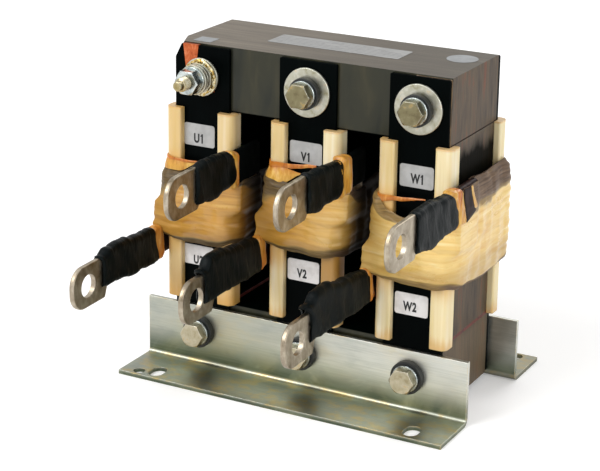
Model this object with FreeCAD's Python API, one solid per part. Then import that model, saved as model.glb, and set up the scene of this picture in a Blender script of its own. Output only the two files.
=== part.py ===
import FreeCAD, Part
import math
import os

from FreeCAD import Vector

# Three-phase line reactor: an iron core of two laminated yokes and three laminated limbs,
# one tape-wrapped coil on the middle of each limb, two flat copper terminals on each coil,
# and two folded mounting brackets bolted through the bottom yoke.
#
# Frame in millimetres: +X runs along the core from phase U to phase W, +Y to the rear,
# +Z up. The origin is at the middle of the foot slots, on the face that stands on the panel.

# Core
limb_width = 36.0
limb_pitch = 67.0
stack_depth = 62.0
yoke_height = 37.0
window_height = 115.0
core_clearance = 4.0
gap_spacer_thickness = 2.0
joint_sheet_thickness = 0.8
joint_sheet_inset = 0.6
corner_cut_width = 5.0
corner_cut_depth = 12.0
corner_cut_height = 10.0

# Insulating strips between the core and its clamping hardware
strip_width = 35.0
front_strip_thickness = 2.0
rear_strip_thickness = 4.0
strip_top_inset = 1.0
strip_corner_radius = 0.8

# Corner bars that hold each coil off its limb
bar_leg = 10.2
bar_wall = 4.0
bar_corner_radius = 4.0
bar_end_radius = 1.2
bar_end_gap = 0.6

# Coils
coil_height = 61.0
coil_front_dip = 21.5
coil_front_left_dip = 11.5
coil_front_right_dip = 16.0
coil_front_rise = 5.0
coil_front_left_rise = 9.0
coil_dip_radius = 7.0
coil_build = 5.6
coil_edge_build = 3.6
coil_edge_radius = 1.6
wrap_wall = 0.8
winding_build = 3.2
coil_u_centre_height = 103.0
coil_v_centre_height = 107.0
coil_w_centre_height = 104.5

# Terminals
terminal_thickness = 3.0
terminal_edge_radius = 0.8
lug_hole_edge_radius = 0.4
lug_height = 24.5
lug_length = 30.5
lug_corner_radius = 10.5
lug_hole_diameter = 13.0
lug_hole_from_tip = 14.5
neck_height = 17.0
neck_shoulder_radius = 3.0
lower_neck_rise = 4.0
tongue_width = 12.0
tongue_reach = 16.0
terminal_droop_angle = 1.0
terminal_u1_above_coil = 25.0
terminal_v1_above_coil = 27.0
terminal_w1_above_coil = 22.5
terminal_u2_below_coil = 31.5
terminal_v2_below_coil = 32.0
terminal_w2_below_coil = 36.5
terminal_u1_reach = 67.0
terminal_v1_reach = 69.0
terminal_w1_reach = 77.5
terminal_u2_reach = 79.5
terminal_v2_reach = 76.0
terminal_w2_reach = 86.0
sleeve_build = 1.8
sleeve_corner_radius = 2.6
upper_sleeve_gap = 11.0
lower_sleeve_gap = 4.0
sleeve_turn_pitch = 9.0
sleeve_turn_rise = 0.5
exit_tape_build = 1.0
exit_tape_width = 10.0
exit_tape_drop = 1.6
joint_pad_margin = 1.5

# Mounting brackets
bracket_length = 204.0
bracket_height = 37.5
bracket_foot = 36.0
bracket_thickness = 2.5
bracket_bend_radius = 2.0
foot_slot_spacing_x = 162.0
foot_slot_spacing_y = 122.0
foot_slot_width = 9.0
foot_slot_length = 13.0
earth_hole_diameter = 7.0
earth_hole_x = 91.0
earth_hole_y = 65.0

# Fasteners
bolt_diameter = 8.0
bolt_tip_chamfer = 0.8
bolt_tip_length = 3.0
hex_across_flats = 13.0
bolt_head_height = 5.3
nut_height = 6.5
hex_chamfer_angle = 30.0
bolt_clearance = 0.2
bush_tube_diameter = 11.0
bush_tube_length = 14.0
bush_clearance = 0.2
upper_collar_diameter = 18.0
lower_collar_diameter = 19.0
collar_thickness = 4.0
wide_washer_diameter = 28.0
wide_washer_thickness = 1.8
small_washer_diameter = 15.5
small_washer_thickness = 1.5
earth_washer_diameter = 22.0
earth_stud_end = 9.0
washer_edge_chamfer = 0.3

# Earthing foil
foil_width = 10.0
foil_waist = 6.5
foil_thickness = 0.4
foil_centre_offset = -7.3
foil_tab_length = 14.0

# Levels and planes worked out from the sizes above
core_width = 2.0 * limb_pitch + limb_width
lower_joint = core_clearance + yoke_height
upper_joint = lower_joint + window_height
core_top = upper_joint + yoke_height
clamp_gap = front_strip_thickness + stack_depth + rear_strip_thickness
front_clamp = -clamp_gap / 2.0
rear_clamp = clamp_gap / 2.0
core_front = front_clamp + front_strip_thickness
core_rear = rear_clamp - rear_strip_thickness
upper_bolt_height = upper_joint + yoke_height / 2.0
lower_bolt_height = core_clearance + yoke_height / 2.0
strip_top = core_top - strip_top_inset
bolt_radius = bolt_diameter / 2.0
bush_hole_radius = bush_tube_diameter / 2.0 + bush_clearance
bolt_hole_radius = bolt_radius + bolt_clearance
phases = ("u", "v", "w")
phase_x = {"u": -limb_pitch, "v": 0.0, "w": limb_pitch}
coil_centre = {"u": coil_u_centre_height, "v": coil_v_centre_height, "w": coil_w_centre_height}
terminal_height = {
    "u1": coil_u_centre_height + terminal_u1_above_coil,
    "v1": coil_v_centre_height + terminal_v1_above_coil,
    "w1": coil_w_centre_height + terminal_w1_above_coil,
    "u2": coil_u_centre_height - terminal_u2_below_coil,
    "v2": coil_v_centre_height - terminal_v2_below_coil,
    "w2": coil_w_centre_height - terminal_w2_below_coil,
}
lug_hole_reach = {
    "u1": terminal_u1_reach,
    "v1": terminal_v1_reach,
    "w1": terminal_w1_reach,
    "u2": terminal_u2_reach,
    "v2": terminal_v2_reach,
    "w2": terminal_w2_reach,
}
sleeve_gap = {"1": upper_sleeve_gap, "2": lower_sleeve_gap}


def box(x0, x1, y0, y1, z0, z1):
    return Part.makeBox(x1 - x0, y1 - y0, z1 - z0, Vector(x0, y0, z0))


def rod(x, z, y0, y1, radius):
    """Round bar along Y."""
    return Part.makeCylinder(radius, y1 - y0, Vector(x, y0, z), Vector(0, 1, 0))


def ring(x, z, y0, y1, outer, inner, chamfer=0.0):
    """Washer or bush along Y, with its outer edges broken."""
    body = rod(x, z, y0, y1, outer)
    if chamfer > 0.0:
        rims = [edge for edge in body.Edges if isinstance(edge.Curve, Part.Circle)]
        body = body.makeChamfer(chamfer, rims)
    return body.cut(rod(x, z, y0 - 1.0, y1 + 1.0, inner))


def rounded_outline(points, radii):
    """Closed wire through the points, with each corner rounded by its radius."""
    edges = []
    count = len(points)
    corners = []
    for index, point in enumerate(points):
        before = (points[index - 1] - point).normalize()
        after = (points[(index + 1) % count] - point).normalize()
        radius = radii[index]
        if radius == 0.0:
            corners.append((point, point, point))
            continue
        half = before.getAngle(after) / 2.0
        reach = radius / math.tan(half)
        bisector = (before + after).normalize()
        middle = point + bisector * (radius / math.sin(half) - radius)
        corners.append((point + before * reach, middle, point + after * reach))
    for index, (start, middle, end) in enumerate(corners):
        if (start - end).Length > 1e-6:
            edges.append(Part.Arc(start, middle, end).toShape())
        following = corners[(index + 1) % count][0]
        if (end - following).Length > 1e-6:
            edges.append(Part.LineSegment(end, following).toShape())
    return Part.Wire(edges)


def plate(points, radii, thickness):
    """Flat outline made solid along its normal."""
    return Part.Face(rounded_outline(points, radii)).extrude(thickness)


def hexagon(x, z, y0, y1, chamfer_front, chamfer_rear):
    """Hexagonal head or nut along Y, with the corners of its end faces turned off."""
    corner_radius = hex_across_flats / math.sqrt(3.0)
    flat_radius = hex_across_flats / 2.0
    points = []
    for side in range(6):
        angle = math.radians(60.0 * side)
        points.append(Vector(x + corner_radius * math.cos(angle), y0, z + corner_radius * math.sin(angle)))
    body = Part.Face(Part.makePolygon(points + points[:1])).extrude(Vector(0, y1 - y0, 0))
    rise = (corner_radius - flat_radius) * math.tan(math.radians(hex_chamfer_angle))
    height = y1 - y0
    base = rod(x, z, y0, y1, corner_radius + 1.0)
    for chamfered, start, direction in ((chamfer_front, y0, 1.0), (chamfer_rear, y1, -1.0)):
        if not chamfered:
            continue
        spread = (corner_radius + 1.0 - flat_radius) * rise / (corner_radius - flat_radius)
        cone = Part.makeCone(flat_radius, corner_radius + 1.0, spread, Vector(x, start, z), Vector(0, direction, 0))
        rest = Part.makeCylinder(
            corner_radius + 1.0, height, Vector(x, start + direction * spread, z), Vector(0, direction, 0)
        )
        base = base.common(cone.fuse(rest))
    return body.common(base)


def core_corner_cut():
    """Wedge that trims the upper left front corner of the core."""
    corner = Vector(-core_width / 2.0, core_front, core_top)
    across = corner + Vector(corner_cut_width, 0, 0)
    back = corner + Vector(0, corner_cut_depth, 0)
    down = corner - Vector(0, 0, corner_cut_height)
    away = (across - down).cross(back - down).normalize()
    if away.dot(corner - across) < 0:
        away = away * -1.0
    centre = (across + back + down) * (1.0 / 3.0)
    size = 2.0 * (corner_cut_depth + corner_cut_height)
    face = Part.makePlane(2 * size, 2 * size, Vector(0, 0, 0), Vector(0, 0, 1))
    face.translate(Vector(-size, -size, 0))
    block = face.extrude(Vector(0, 0, size))
    block.Placement = FreeCAD.Placement(centre, FreeCAD.Rotation(Vector(0, 0, 1), away))
    return block


def top_yoke():
    half = core_width / 2.0
    body = box(-half, half, core_front, core_rear, upper_joint, core_top)
    for phase in phases:
        radius = bolt_hole_radius if phase == "u" else bush_hole_radius
        body = body.cut(rod(phase_x[phase], upper_bolt_height, core_front - 1, core_rear + 1, radius))
    return body.cut(core_corner_cut())


def bottom_yoke():
    half = core_width / 2.0
    body = box(-half, half, core_front, core_rear, core_clearance, lower_joint)
    for phase in phases:
        body = body.cut(rod(phase_x[phase], lower_bolt_height, core_front - 1, core_rear + 1, bush_hole_radius))
    return body


def limb(phase):
    x = phase_x[phase]
    half = limb_width / 2.0
    low = lower_joint + gap_spacer_thickness
    return box(x - half, x + half, core_front, core_rear, low, upper_joint - joint_sheet_thickness)


def gap_spacer(phase):
    x = phase_x[phase]
    half = limb_width / 2.0
    return box(x - half, x + half, core_front, core_rear, lower_joint, lower_joint + gap_spacer_thickness)


def joint_sheet(phase):
    x = phase_x[phase]
    half = limb_width / 2.0 - joint_sheet_inset
    low = upper_joint - joint_sheet_thickness
    return box(x - half, x + half, core_front, core_rear - joint_sheet_inset, low, upper_joint)


def strip(phase, front):
    """Insulating strip over the full height of one limb and both yokes."""
    x = phase_x[phase]
    half = strip_width / 2.0
    near = front_clamp if front else core_rear
    thickness = front_strip_thickness if front else rear_strip_thickness
    points = [
        Vector(x - half, near, core_clearance),
        Vector(x + half, near, core_clearance),
        Vector(x + half, near, strip_top),
        Vector(x - half, near, strip_top),
    ]
    body = plate(points, [strip_corner_radius] * 4, Vector(0, thickness, 0))
    upper_radius = bolt_hole_radius if phase == "u" else bush_hole_radius
    body = body.cut(rod(x, upper_bolt_height, near - 1, near + thickness + 1, upper_radius))
    body = body.cut(rod(x, lower_bolt_height, near - 1, near + thickness + 1, bush_hole_radius))
    if front and phase == "u":
        side = -core_width / 2.0
        trim = [
            Vector(side - 1, near - 1, core_top - corner_cut_height * (1 + 1 / corner_cut_width)),
            Vector(side + corner_cut_width, near - 1, core_top),
            Vector(side - 1, near - 1, core_top),
        ]
        body = body.cut(plate(trim, [0.0] * 3, Vector(0, thickness + 2, 0)))
    return body


def corner_bar(phase, side_x, front):
    """Pultruded bar: an angle with a rounded back that sits over one edge of a limb."""
    height = window_height - 2.0 * bar_end_gap
    back = Part.makeBox(bar_leg, bar_leg, height)
    outer_edges = []
    end_edges = []
    for edge in back.Edges:
        if abs(edge.Vertexes[0].X - edge.Vertexes[1].X) + abs(edge.Vertexes[0].Y - edge.Vertexes[1].Y) > 1e-6:
            continue
        place = (edge.Vertexes[0].X, edge.Vertexes[0].Y)
        if place == (0.0, 0.0):
            outer_edges.append(edge)
        elif place != (bar_leg, bar_leg):
            end_edges.append(edge)
    back = back.makeFillet(bar_corner_radius, outer_edges)
    ends = []
    for edge in back.Edges:
        low, high = edge.BoundBox, edge.BoundBox
        upright = high.ZLength > height - 1e-3 and low.XLength + low.YLength < 1e-6
        at_end = max(low.XMin, low.YMin) > bar_leg - 1e-3 and min(low.XMin, low.YMin) < 1e-3
        if upright and at_end:
            ends.append(edge)
    back = back.makeFillet(bar_end_radius, ends)
    bar = back.cut(Part.makeBox(bar_leg, bar_leg, height + 2, Vector(bar_wall, bar_wall, -1)))
    corner_x = phase_x[phase] + side_x * (limb_width / 2.0 + bar_wall)
    corner_y = front_clamp - bar_wall if front else rear_clamp + bar_wall
    if side_x > 0:
        bar = bar.mirror(Vector(0, 0, 0), Vector(1, 0, 0))
    if not front:
        bar = bar.mirror(Vector(0, 0, 0), Vector(0, 1, 0))
    bar.translate(Vector(corner_x, corner_y, lower_joint + bar_end_gap))
    return bar


def coil_band(phase, profile):
    """Carries a half-section, given outward from the bars, round all four bars of a limb."""
    half_x = limb_width / 2.0 + bar_wall - bar_corner_radius
    front = front_clamp - bar_wall + bar_corner_radius
    rear = rear_clamp + bar_wall - bar_corner_radius
    x = phase_x[phase]
    axes = [
        (Vector(x + half_x, front, 0), -90.0, Vector(0, 1, 0), rear - front),
        (Vector(x + half_x, rear, 0), 0.0, Vector(-1, 0, 0), 2.0 * half_x),
        (Vector(x - half_x, rear, 0), 90.0, Vector(0, -1, 0), rear - front),
        (Vector(x - half_x, front, 0), 180.0, Vector(1, 0, 0), 2.0 * half_x),
    ]
    pieces = []
    for centre, start, along, length in axes:
        corner = profile.copy()
        corner.rotate(Vector(0, 0, 0), Vector(0, 0, 1), start)
        corner.translate(centre)
        pieces.append(corner.revolve(centre, Vector(0, 0, 1), 90.0))
        side = profile.copy()
        side.rotate(Vector(0, 0, 0), Vector(0, 0, 1), start + 90.0)
        side.translate(centre)
        pieces.append(side.extrude(along * length))
    return pieces[0].fuse(pieces[1:]).removeSplitter()


def wrap_profile(phase):
    """Half-section of the taped coil: straight against the bars, barrelled outside."""
    inner = bar_corner_radius
    middle = coil_centre[phase]
    low = middle - coil_height / 2.0
    high = middle + coil_height / 2.0
    edge = inner + coil_edge_build
    belly = inner + coil_build
    turn = coil_edge_radius
    slant = math.sqrt(0.5)
    lower_arc = Part.Arc(
        Vector(edge - turn, 0, low), Vector(edge - turn + turn * slant, 0, low + turn - turn * slant),
        Vector(edge, 0, low + turn),
    )
    barrel = Part.Arc(Vector(edge, 0, low + turn), Vector(belly, 0, middle), Vector(edge, 0, high - turn))
    upper_arc = Part.Arc(
        Vector(edge, 0, high - turn), Vector(edge - turn + turn * slant, 0, high - turn + turn * slant),
        Vector(edge - turn, 0, high),
    )
    edges = [
        Part.LineSegment(Vector(inner, 0, low), Vector(edge - turn, 0, low)).toShape(),
        lower_arc.toShape(),
        barrel.toShape(),
        upper_arc.toShape(),
        Part.LineSegment(Vector(edge - turn, 0, high), Vector(inner, 0, high)).toShape(),
        Part.LineSegment(Vector(inner, 0, high), Vector(inner, 0, low)).toShape(),
    ]
    return Part.Face(Part.Wire(edges))


def coil_dip(phase, margin):
    """Blocks that lower a coil's upper edge and raise its lower edge across the front."""
    x = phase_x[phase]
    near = front_clamp - bar_wall - coil_build - 1.0
    corner = limb_width / 2.0
    reach = corner + bar_wall + coil_build + 1.0
    high = coil_centre[phase] + coil_height / 2.0 - margin
    low = coil_centre[phase] - coil_height / 2.0 + margin
    over = coil_height
    upper = [
        Vector(x - reach, near, high - coil_front_left_dip),
        Vector(x - corner, near, high - coil_front_left_dip),
        Vector(x, near, high - coil_front_dip),
        Vector(x + corner / 2.0, near, high - coil_front_right_dip - margin),
        Vector(x + reach, near, high),
        Vector(x + reach, near, high + over),
        Vector(x - reach, near, high + over),
    ]
    lower = [
        Vector(x - reach, near, low + coil_front_left_rise),
        Vector(x - corner, near, low + coil_front_left_rise),
        Vector(x, near, low + coil_front_rise),
        Vector(x + reach, near, low),
        Vector(x + reach, near, low - over),
        Vector(x - reach, near, low - over),
    ]
    depth = Vector(0, front_clamp + bar_corner_radius - bar_wall - near, 0)
    soft = coil_dip_radius
    above = plate(upper, [0.0, soft, soft, soft, 0.0, 0.0, 0.0], depth)
    below = plate(lower, [0.0, soft, soft, 0.0, 0.0, 0.0], depth)
    return above, below


def winding(phase):
    """Copper turns, as one solid band inside the tape."""
    inner = bar_corner_radius + wrap_wall / 2.0
    low = coil_centre[phase] - coil_height / 2.0 + 2.0 * wrap_wall
    high = coil_centre[phase] + coil_height / 2.0 - 2.0 * wrap_wall
    outer = inner + winding_build - wrap_wall
    points = [Vector(inner, 0, low), Vector(outer, 0, low), Vector(outer, 0, high), Vector(inner, 0, high)]
    body = coil_band(phase, Part.Face(Part.makePolygon(points + points[:1])))
    for block in coil_dip(phase, 2.0 * wrap_wall):
        body = body.cut(block)
    return body


def terminal_plane(name):
    """X of the coil-side face of a terminal, and the direction away from its limb."""
    away = 1.0 if name[1] == "1" else -1.0
    inner = limb_width / 2.0 + bar_wall + wrap_wall / 2.0 + winding_build - wrap_wall
    return phase_x[name[0]] + away * inner, away


def lean(shape, name):
    """Tips a terminal down towards its free end, about the place where it leaves the coil."""
    pivot = Vector(phase_x[name[0]], front_clamp, terminal_height[name])
    shape.rotate(pivot, Vector(1, 0, 0), terminal_droop_angle)
    return shape


def lug_hole_y(name):
    return front_clamp - lug_hole_reach[name]


def neck_middle(name):
    """Height of the middle of a neck; the lower ones sit above the middle of their lugs."""
    rise = lower_neck_rise if name[1] == "2" else 0.0
    return terminal_height[name] + rise


def terminal(name):
    """Flat copper bar: round-cornered lug, narrower neck, and a tongue on the winding."""
    x, away = terminal_plane(name)
    z = terminal_height[name]
    tip = lug_hole_y(name) - lug_hole_from_tip
    shoulder = tip + lug_length
    rear = core_front + tongue_width
    turn = -1.0 if name[1] == "1" else 1.0
    half_lug = lug_height / 2.0
    half_neck = neck_height / 2.0
    root = rear - tongue_width
    neck = neck_middle(name)
    points = [
        Vector(x, tip, z - turn * half_lug),
        Vector(x, shoulder, z - turn * half_lug),
        Vector(x, shoulder + neck_shoulder_radius, neck - turn * half_neck),
        Vector(x, rear, neck - turn * half_neck),
        Vector(x, rear, z + turn * (half_neck + tongue_reach)),
        Vector(x, root, z + turn * (half_neck + tongue_reach)),
        Vector(x, root, neck + turn * half_neck),
        Vector(x, shoulder + neck_shoulder_radius, neck + turn * half_neck),
        Vector(x, shoulder, z + turn * half_lug),
        Vector(x, tip, z + turn * half_lug),
    ]
    soft = neck_shoulder_radius / 2.0
    radii = [lug_corner_radius, soft, 0.0, soft, soft, soft, neck_shoulder_radius, 0.0, soft, lug_corner_radius]
    body = plate(points, radii, Vector(away * terminal_thickness, 0, 0))
    faces = (x, x + away * terminal_thickness)
    rims = [edge for edge in body.Edges if min(abs(edge.BoundBox.Center.x - face) for face in faces) < 1e-3]
    body = body.makeFillet(terminal_edge_radius, rims)
    hole = Part.makeCylinder(
        lug_hole_diameter / 2.0,
        terminal_thickness + 2.0,
        Vector(x - away, lug_hole_y(name), z),
        Vector(away, 0, 0),
    )
    body = body.cut(hole)
    mouths = []
    for edge in body.Edges:
        middle = edge.BoundBox.Center
        at_hole = abs(middle.y - lug_hole_y(name)) + abs(middle.z - z) < 1e-3
        if at_hole and isinstance(edge.Curve, Part.Circle):
            mouths.append(edge)
    body = body.makeFillet(lug_hole_edge_radius, mouths)
    return lean(body, name)


def sleeve(name):
    """Black tape over the neck, in lapped turns that each stand a little proud of the next."""
    x, away = terminal_plane(name)
    z = neck_middle(name)
    centre = x + away * terminal_thickness / 2.0
    start = lug_hole_y(name) - lug_hole_from_tip + lug_length + 0.5
    end = front_clamp - sleeve_gap[name[1]]
    turns = max(2, int(round((end - start) / sleeve_turn_pitch)))
    pitch = (end - start) / turns
    shape = None
    for turn in range(turns):
        near = start + turn * pitch
        sections = []
        for y, build in ((near, sleeve_build), (near + pitch, sleeve_build + sleeve_turn_rise)):
            half_x = terminal_thickness / 2.0 + build
            half_z = neck_height / 2.0 + build
            points = [
                Vector(centre - half_x, y, z - half_z),
                Vector(centre + half_x, y, z - half_z),
                Vector(centre + half_x, y, z + half_z),
                Vector(centre - half_x, y, z + half_z),
            ]
            sections.append(rounded_outline(points, [sleeve_corner_radius] * 4))
        lap = Part.makeLoft(sections, True, True)
        shape = lap if shape is None else shape.fuse(lap)
    return lean(shape, name)


def exit_tape(name):
    """Amber tape bound round a terminal at its coil, with a pad over the joint to the winding."""
    x, away = terminal_plane(name)
    z = neck_middle(name)
    turn = -1.0 if name[1] == "1" else 1.0
    centre = x + away * terminal_thickness / 2.0
    half_x = terminal_thickness / 2.0 + exit_tape_build
    near = front_clamp - sleeve_gap[name[1]] + 0.2
    half_z = neck_height / 2.0 + exit_tape_drop
    points = [
        Vector(centre - half_x, near, z - half_z),
        Vector(centre + half_x, near, z - half_z),
        Vector(centre + half_x, near, z + half_z),
        Vector(centre - half_x, near, z + half_z),
    ]
    band = plate(points, [exit_tape_build] * 4, Vector(0, exit_tape_width, 0))
    front = min(core_front - joint_pad_margin, near + exit_tape_width - joint_pad_margin)
    rear = core_front + tongue_width + joint_pad_margin
    bottom = z - turn * (neck_height / 2.0 + joint_pad_margin)
    top = terminal_height[name] + turn * (neck_height / 2.0 + tongue_reach + joint_pad_margin)
    outline = [Vector(x, front, bottom), Vector(x, rear, bottom), Vector(x, rear, top), Vector(x, front, top)]
    pad_build = away * (terminal_thickness + exit_tape_build)
    pad = plate(outline, [2.0 * joint_pad_margin] * 4, Vector(pad_build, 0, 0))
    return lean(band.fuse(pad).removeSplitter(), name)


def bracket(front):
    """Folded angle: upright against the strips, foot turned away from the core."""
    out = -1.0 if front else 1.0
    inner = front_clamp if front else rear_clamp
    outer = inner + out * bracket_foot
    half = bracket_length / 2.0
    step = out * bracket_thickness
    points = [
        Vector(-half, inner, 0),
        Vector(-half, outer, 0),
        Vector(-half, outer, bracket_thickness),
        Vector(-half, inner + step, bracket_thickness),
        Vector(-half, inner + step, bracket_height),
        Vector(-half, inner, bracket_height),
    ]
    bend = [bracket_bend_radius + bracket_thickness, 0.0, 0.0, bracket_bend_radius, 0.0, 0.0]
    body = plate(points, bend, Vector(bracket_length, 0, 0))
    for phase in phases:
        y0, y1 = sorted((inner - out, inner + 2 * step))
        body = body.cut(rod(phase_x[phase], lower_bolt_height, y0, y1, bush_hole_radius))
    slot_y = out * foot_slot_spacing_y / 2.0
    reach = (foot_slot_length - foot_slot_width) / 2.0
    radius = foot_slot_width / 2.0
    for x in (-foot_slot_spacing_x / 2.0, foot_slot_spacing_x / 2.0):
        slot = [
            Vector(x - radius, slot_y - reach - radius, -1),
            Vector(x + radius, slot_y - reach - radius, -1),
            Vector(x + radius, slot_y + reach + radius, -1),
            Vector(x - radius, slot_y + reach + radius, -1),
        ]
        body = body.cut(plate(slot, [radius] * 4, Vector(0, 0, bracket_thickness + 2)))
    earth = Vector(out * earth_hole_x, out * earth_hole_y, -1)
    return body.cut(Part.makeCylinder(earth_hole_diameter / 2.0, bracket_thickness + 2, earth))


def bolt(x, z, head_y, end_y, nut_radius):
    """Hexagon bolt along Y, its head to the front and its tip to the rear."""
    head = hexagon(x, z, head_y, head_y + bolt_head_height, True, False)
    shank = rod(x, z, head_y + bolt_head_height, end_y, nut_radius)
    tip = [edge for edge in shank.Edges if edge.BoundBox.YMin > end_y - 1e-3]
    shank = shank.makeChamfer(bolt_tip_chamfer, tip)
    return head.fuse(shank).removeSplitter()


def nut(x, z, y):
    body = hexagon(x, z, y, y + nut_height, True, True)
    return body.cut(rod(x, z, y - 1, y + nut_height + 1, bolt_radius))


def bush(x, z, face, inward, collar):
    """Insulating bush: a collar on the face and a tube that keeps the bolt off the core."""
    collar_start, collar_end = sorted((face, face - inward * collar_thickness))
    tube_start, tube_end = sorted((face, face + inward * bush_tube_length))
    flange = ring(x, z, collar_start, collar_end, collar / 2.0, bolt_hole_radius, washer_edge_chamfer)
    tube = ring(x, z, tube_start, tube_end, bush_tube_diameter / 2.0, bolt_hole_radius)
    return flange.fuse(tube).removeSplitter()


def washer(x, z, face, outward, diameter, thickness, bore):
    start, end = sorted((face, face + outward * thickness))
    return ring(x, z, start, end, diameter / 2.0, bore, washer_edge_chamfer)


def clamp_sets():
    """Bolts, nuts, washers and bushes of the five through bolts and the earthing stud."""
    parts = {
        "upper_clamp_bolts": [], "lower_clamp_bolts": [], "clamp_nuts": [], "wide_washers": [],
        "small_washers": [], "insulating_bushes": [], "earth_stud": [],
    }
    front_bracket_face = front_clamp - bracket_thickness
    rear_bracket_face = rear_clamp + bracket_thickness
    stacks = []
    for phase in phases:
        stacks.append((phase_x[phase], lower_bolt_height, front_bracket_face, rear_bracket_face, False))
        if phase != "u":
            stacks.append((phase_x[phase], upper_bolt_height, front_clamp, rear_clamp, True))
    for x, z, front_face, rear_face, upper in stacks:
        collar = upper_collar_diameter if upper else lower_collar_diameter
        if upper:
            thickness = wide_washer_thickness
            for face, outward in ((front_face, -1.0), (rear_face, 1.0)):
                wide = washer(x, z, face, outward, wide_washer_diameter, thickness, bush_hole_radius)
                parts["wide_washers"].append(wide)
            front_face -= thickness
            rear_face += thickness
        parts["insulating_bushes"].append(bush(x, z, front_face, 1.0, collar))
        parts["insulating_bushes"].append(bush(x, z, rear_face, -1.0, collar))
        front_face -= collar_thickness
        rear_face += collar_thickness
        for face, outward in ((front_face, -1.0), (rear_face, 1.0)):
            small = washer(x, z, face, outward, small_washer_diameter, small_washer_thickness, bolt_hole_radius)
            parts["small_washers"].append(small)
        front_face -= small_washer_thickness
        rear_face += small_washer_thickness
        name = "upper_clamp_bolts" if upper else "lower_clamp_bolts"
        tip = rear_face + nut_height + bolt_tip_length
        parts[name].append(bolt(x, z, front_face - bolt_head_height, tip, bolt_radius))
        parts["clamp_nuts"].append(nut(x, z, rear_face))
    earth_stack(parts)
    return parts


def earth_stack(parts):
    """Earthing stud of phase U: washers and nuts in front, one washer and nut behind."""
    x = phase_x["u"]
    z = upper_bolt_height
    face = front_clamp - foil_thickness
    thickness = wide_washer_thickness
    parts["wide_washers"].append(washer(x, z, face, -1.0, earth_washer_diameter, thickness, bolt_hole_radius))
    face -= thickness
    for layer in range(2):
        small = washer(x, z, face, -1.0, small_washer_diameter, small_washer_thickness, bolt_hole_radius)
        parts["small_washers"].append(small)
        face -= small_washer_thickness
        parts["clamp_nuts"].append(nut(x, z, face - nut_height))
        face -= nut_height
    rear = rear_clamp
    parts["wide_washers"].append(washer(x, z, rear, 1.0, earth_washer_diameter, thickness, bolt_hole_radius))
    parts["clamp_nuts"].append(nut(x, z, rear + thickness))
    end = rear + thickness + nut_height + bolt_tip_length
    stud = rod(x, z, face - earth_stud_end, end, bolt_radius)
    ends = [edge for edge in stud.Edges if isinstance(edge.Curve, Part.Circle)]
    parts["earth_stud"].append(stud.makeChamfer(bolt_tip_chamfer, ends))


def earth_foil():
    """Copper foil from under the stud's washer, up the strip and over its top to the core."""
    x = phase_x["u"] + foil_centre_offset
    stud_x = phase_x["u"]
    front = front_clamp - foil_thickness
    top = strip_top + foil_thickness
    waist = top - foil_tab_length
    points = [
        Vector(x - foil_width / 2.0, front, top),
        Vector(x - foil_waist / 2.0, front, waist),
        Vector(stud_x - bolt_diameter, front, upper_bolt_height - bolt_diameter),
        Vector(stud_x + bolt_diameter, front, upper_bolt_height - bolt_diameter),
        Vector(stud_x + bolt_diameter, front, upper_bolt_height + bolt_diameter / 2.0),
        Vector(x + foil_waist / 2.0, front, waist),
        Vector(x + foil_width / 2.0, front, top),
    ]
    face = plate(points, [0.0] * 7, Vector(0, foil_thickness, 0))
    face = face.cut(rod(stud_x, upper_bolt_height, front - 1, front_clamp + 1, bolt_hole_radius))
    half = foil_width / 2.0
    fold = box(x - half, x + half, front_clamp, core_front, strip_top, top)
    return face.fuse(fold).removeSplitter()


def build():
    nodes = {"top_yoke": top_yoke(), "bottom_yoke": bottom_yoke()}
    for phase in phases:
        nodes["limb_" + phase] = limb(phase)
        nodes["gap_spacer_" + phase] = gap_spacer(phase)
        nodes["joint_sheet_" + phase] = joint_sheet(phase)
        nodes["front_strip_" + phase] = strip(phase, True)
        nodes["rear_strip_" + phase] = strip(phase, False)
        for side_name, side_x in (("left", -1.0), ("right", 1.0)):
            nodes["front_" + side_name + "_bar_" + phase] = corner_bar(phase, side_x, True)
            nodes["rear_" + side_name + "_bar_" + phase] = corner_bar(phase, side_x, False)
        copper = winding(phase)
        names = (phase + "1", phase + "2")
        bars = {name: terminal(name) for name in names}
        tapes = [exit_tape(name).cut(bars[name]).cut(copper) for name in names]
        wrap = coil_band(phase, wrap_profile(phase)).cut(copper)
        for block in coil_dip(phase, 0.0):
            wrap = wrap.cut(block)
        for name, tape in zip(names, tapes):
            wrap = wrap.cut(bars[name]).cut(tape)
        nodes["winding_" + phase] = copper
        nodes["coil_wrap_" + phase] = wrap
        nodes["exit_tapes_" + phase] = Part.makeCompound(tapes)
        for name in names:
            nodes["terminal_" + name] = bars[name]
            nodes["sleeve_" + name] = sleeve(name).cut(bars[name]).cut(copper).cut(wrap)
    nodes["front_bracket"] = bracket(True)
    nodes["rear_bracket"] = bracket(False)
    nodes["earth_foil"] = earth_foil()
    for name, solids in clamp_sets().items():
        nodes[name] = solids[0] if len(solids) == 1 else Part.makeCompound(solids)
    return nodes


def main():
    os.makedirs("parts", exist_ok=True)
    for name, shape in build().items():
        shape.exportStep("parts/" + name + ".step")


if __name__ == "__main__":
    main()
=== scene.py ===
import math

import bpy
from mathutils import Matrix, Vector, noise


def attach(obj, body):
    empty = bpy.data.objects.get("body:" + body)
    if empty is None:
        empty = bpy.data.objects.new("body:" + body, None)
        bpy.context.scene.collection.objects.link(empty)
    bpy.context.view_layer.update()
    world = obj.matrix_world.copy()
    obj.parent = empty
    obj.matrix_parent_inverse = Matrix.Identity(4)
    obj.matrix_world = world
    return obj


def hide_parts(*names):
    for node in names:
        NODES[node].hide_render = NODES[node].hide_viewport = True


bl_info = {
    "name": "Three-phase line reactor",
    "version": (1, 0, 0),
    "blender": (4, 5, 0),
    "location": "View3D > Sidebar > Reactor",
    "description": "Dresses a three-phase line reactor with taped coils, terminals and plated brackets",
    "category": "Object",
}

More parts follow.
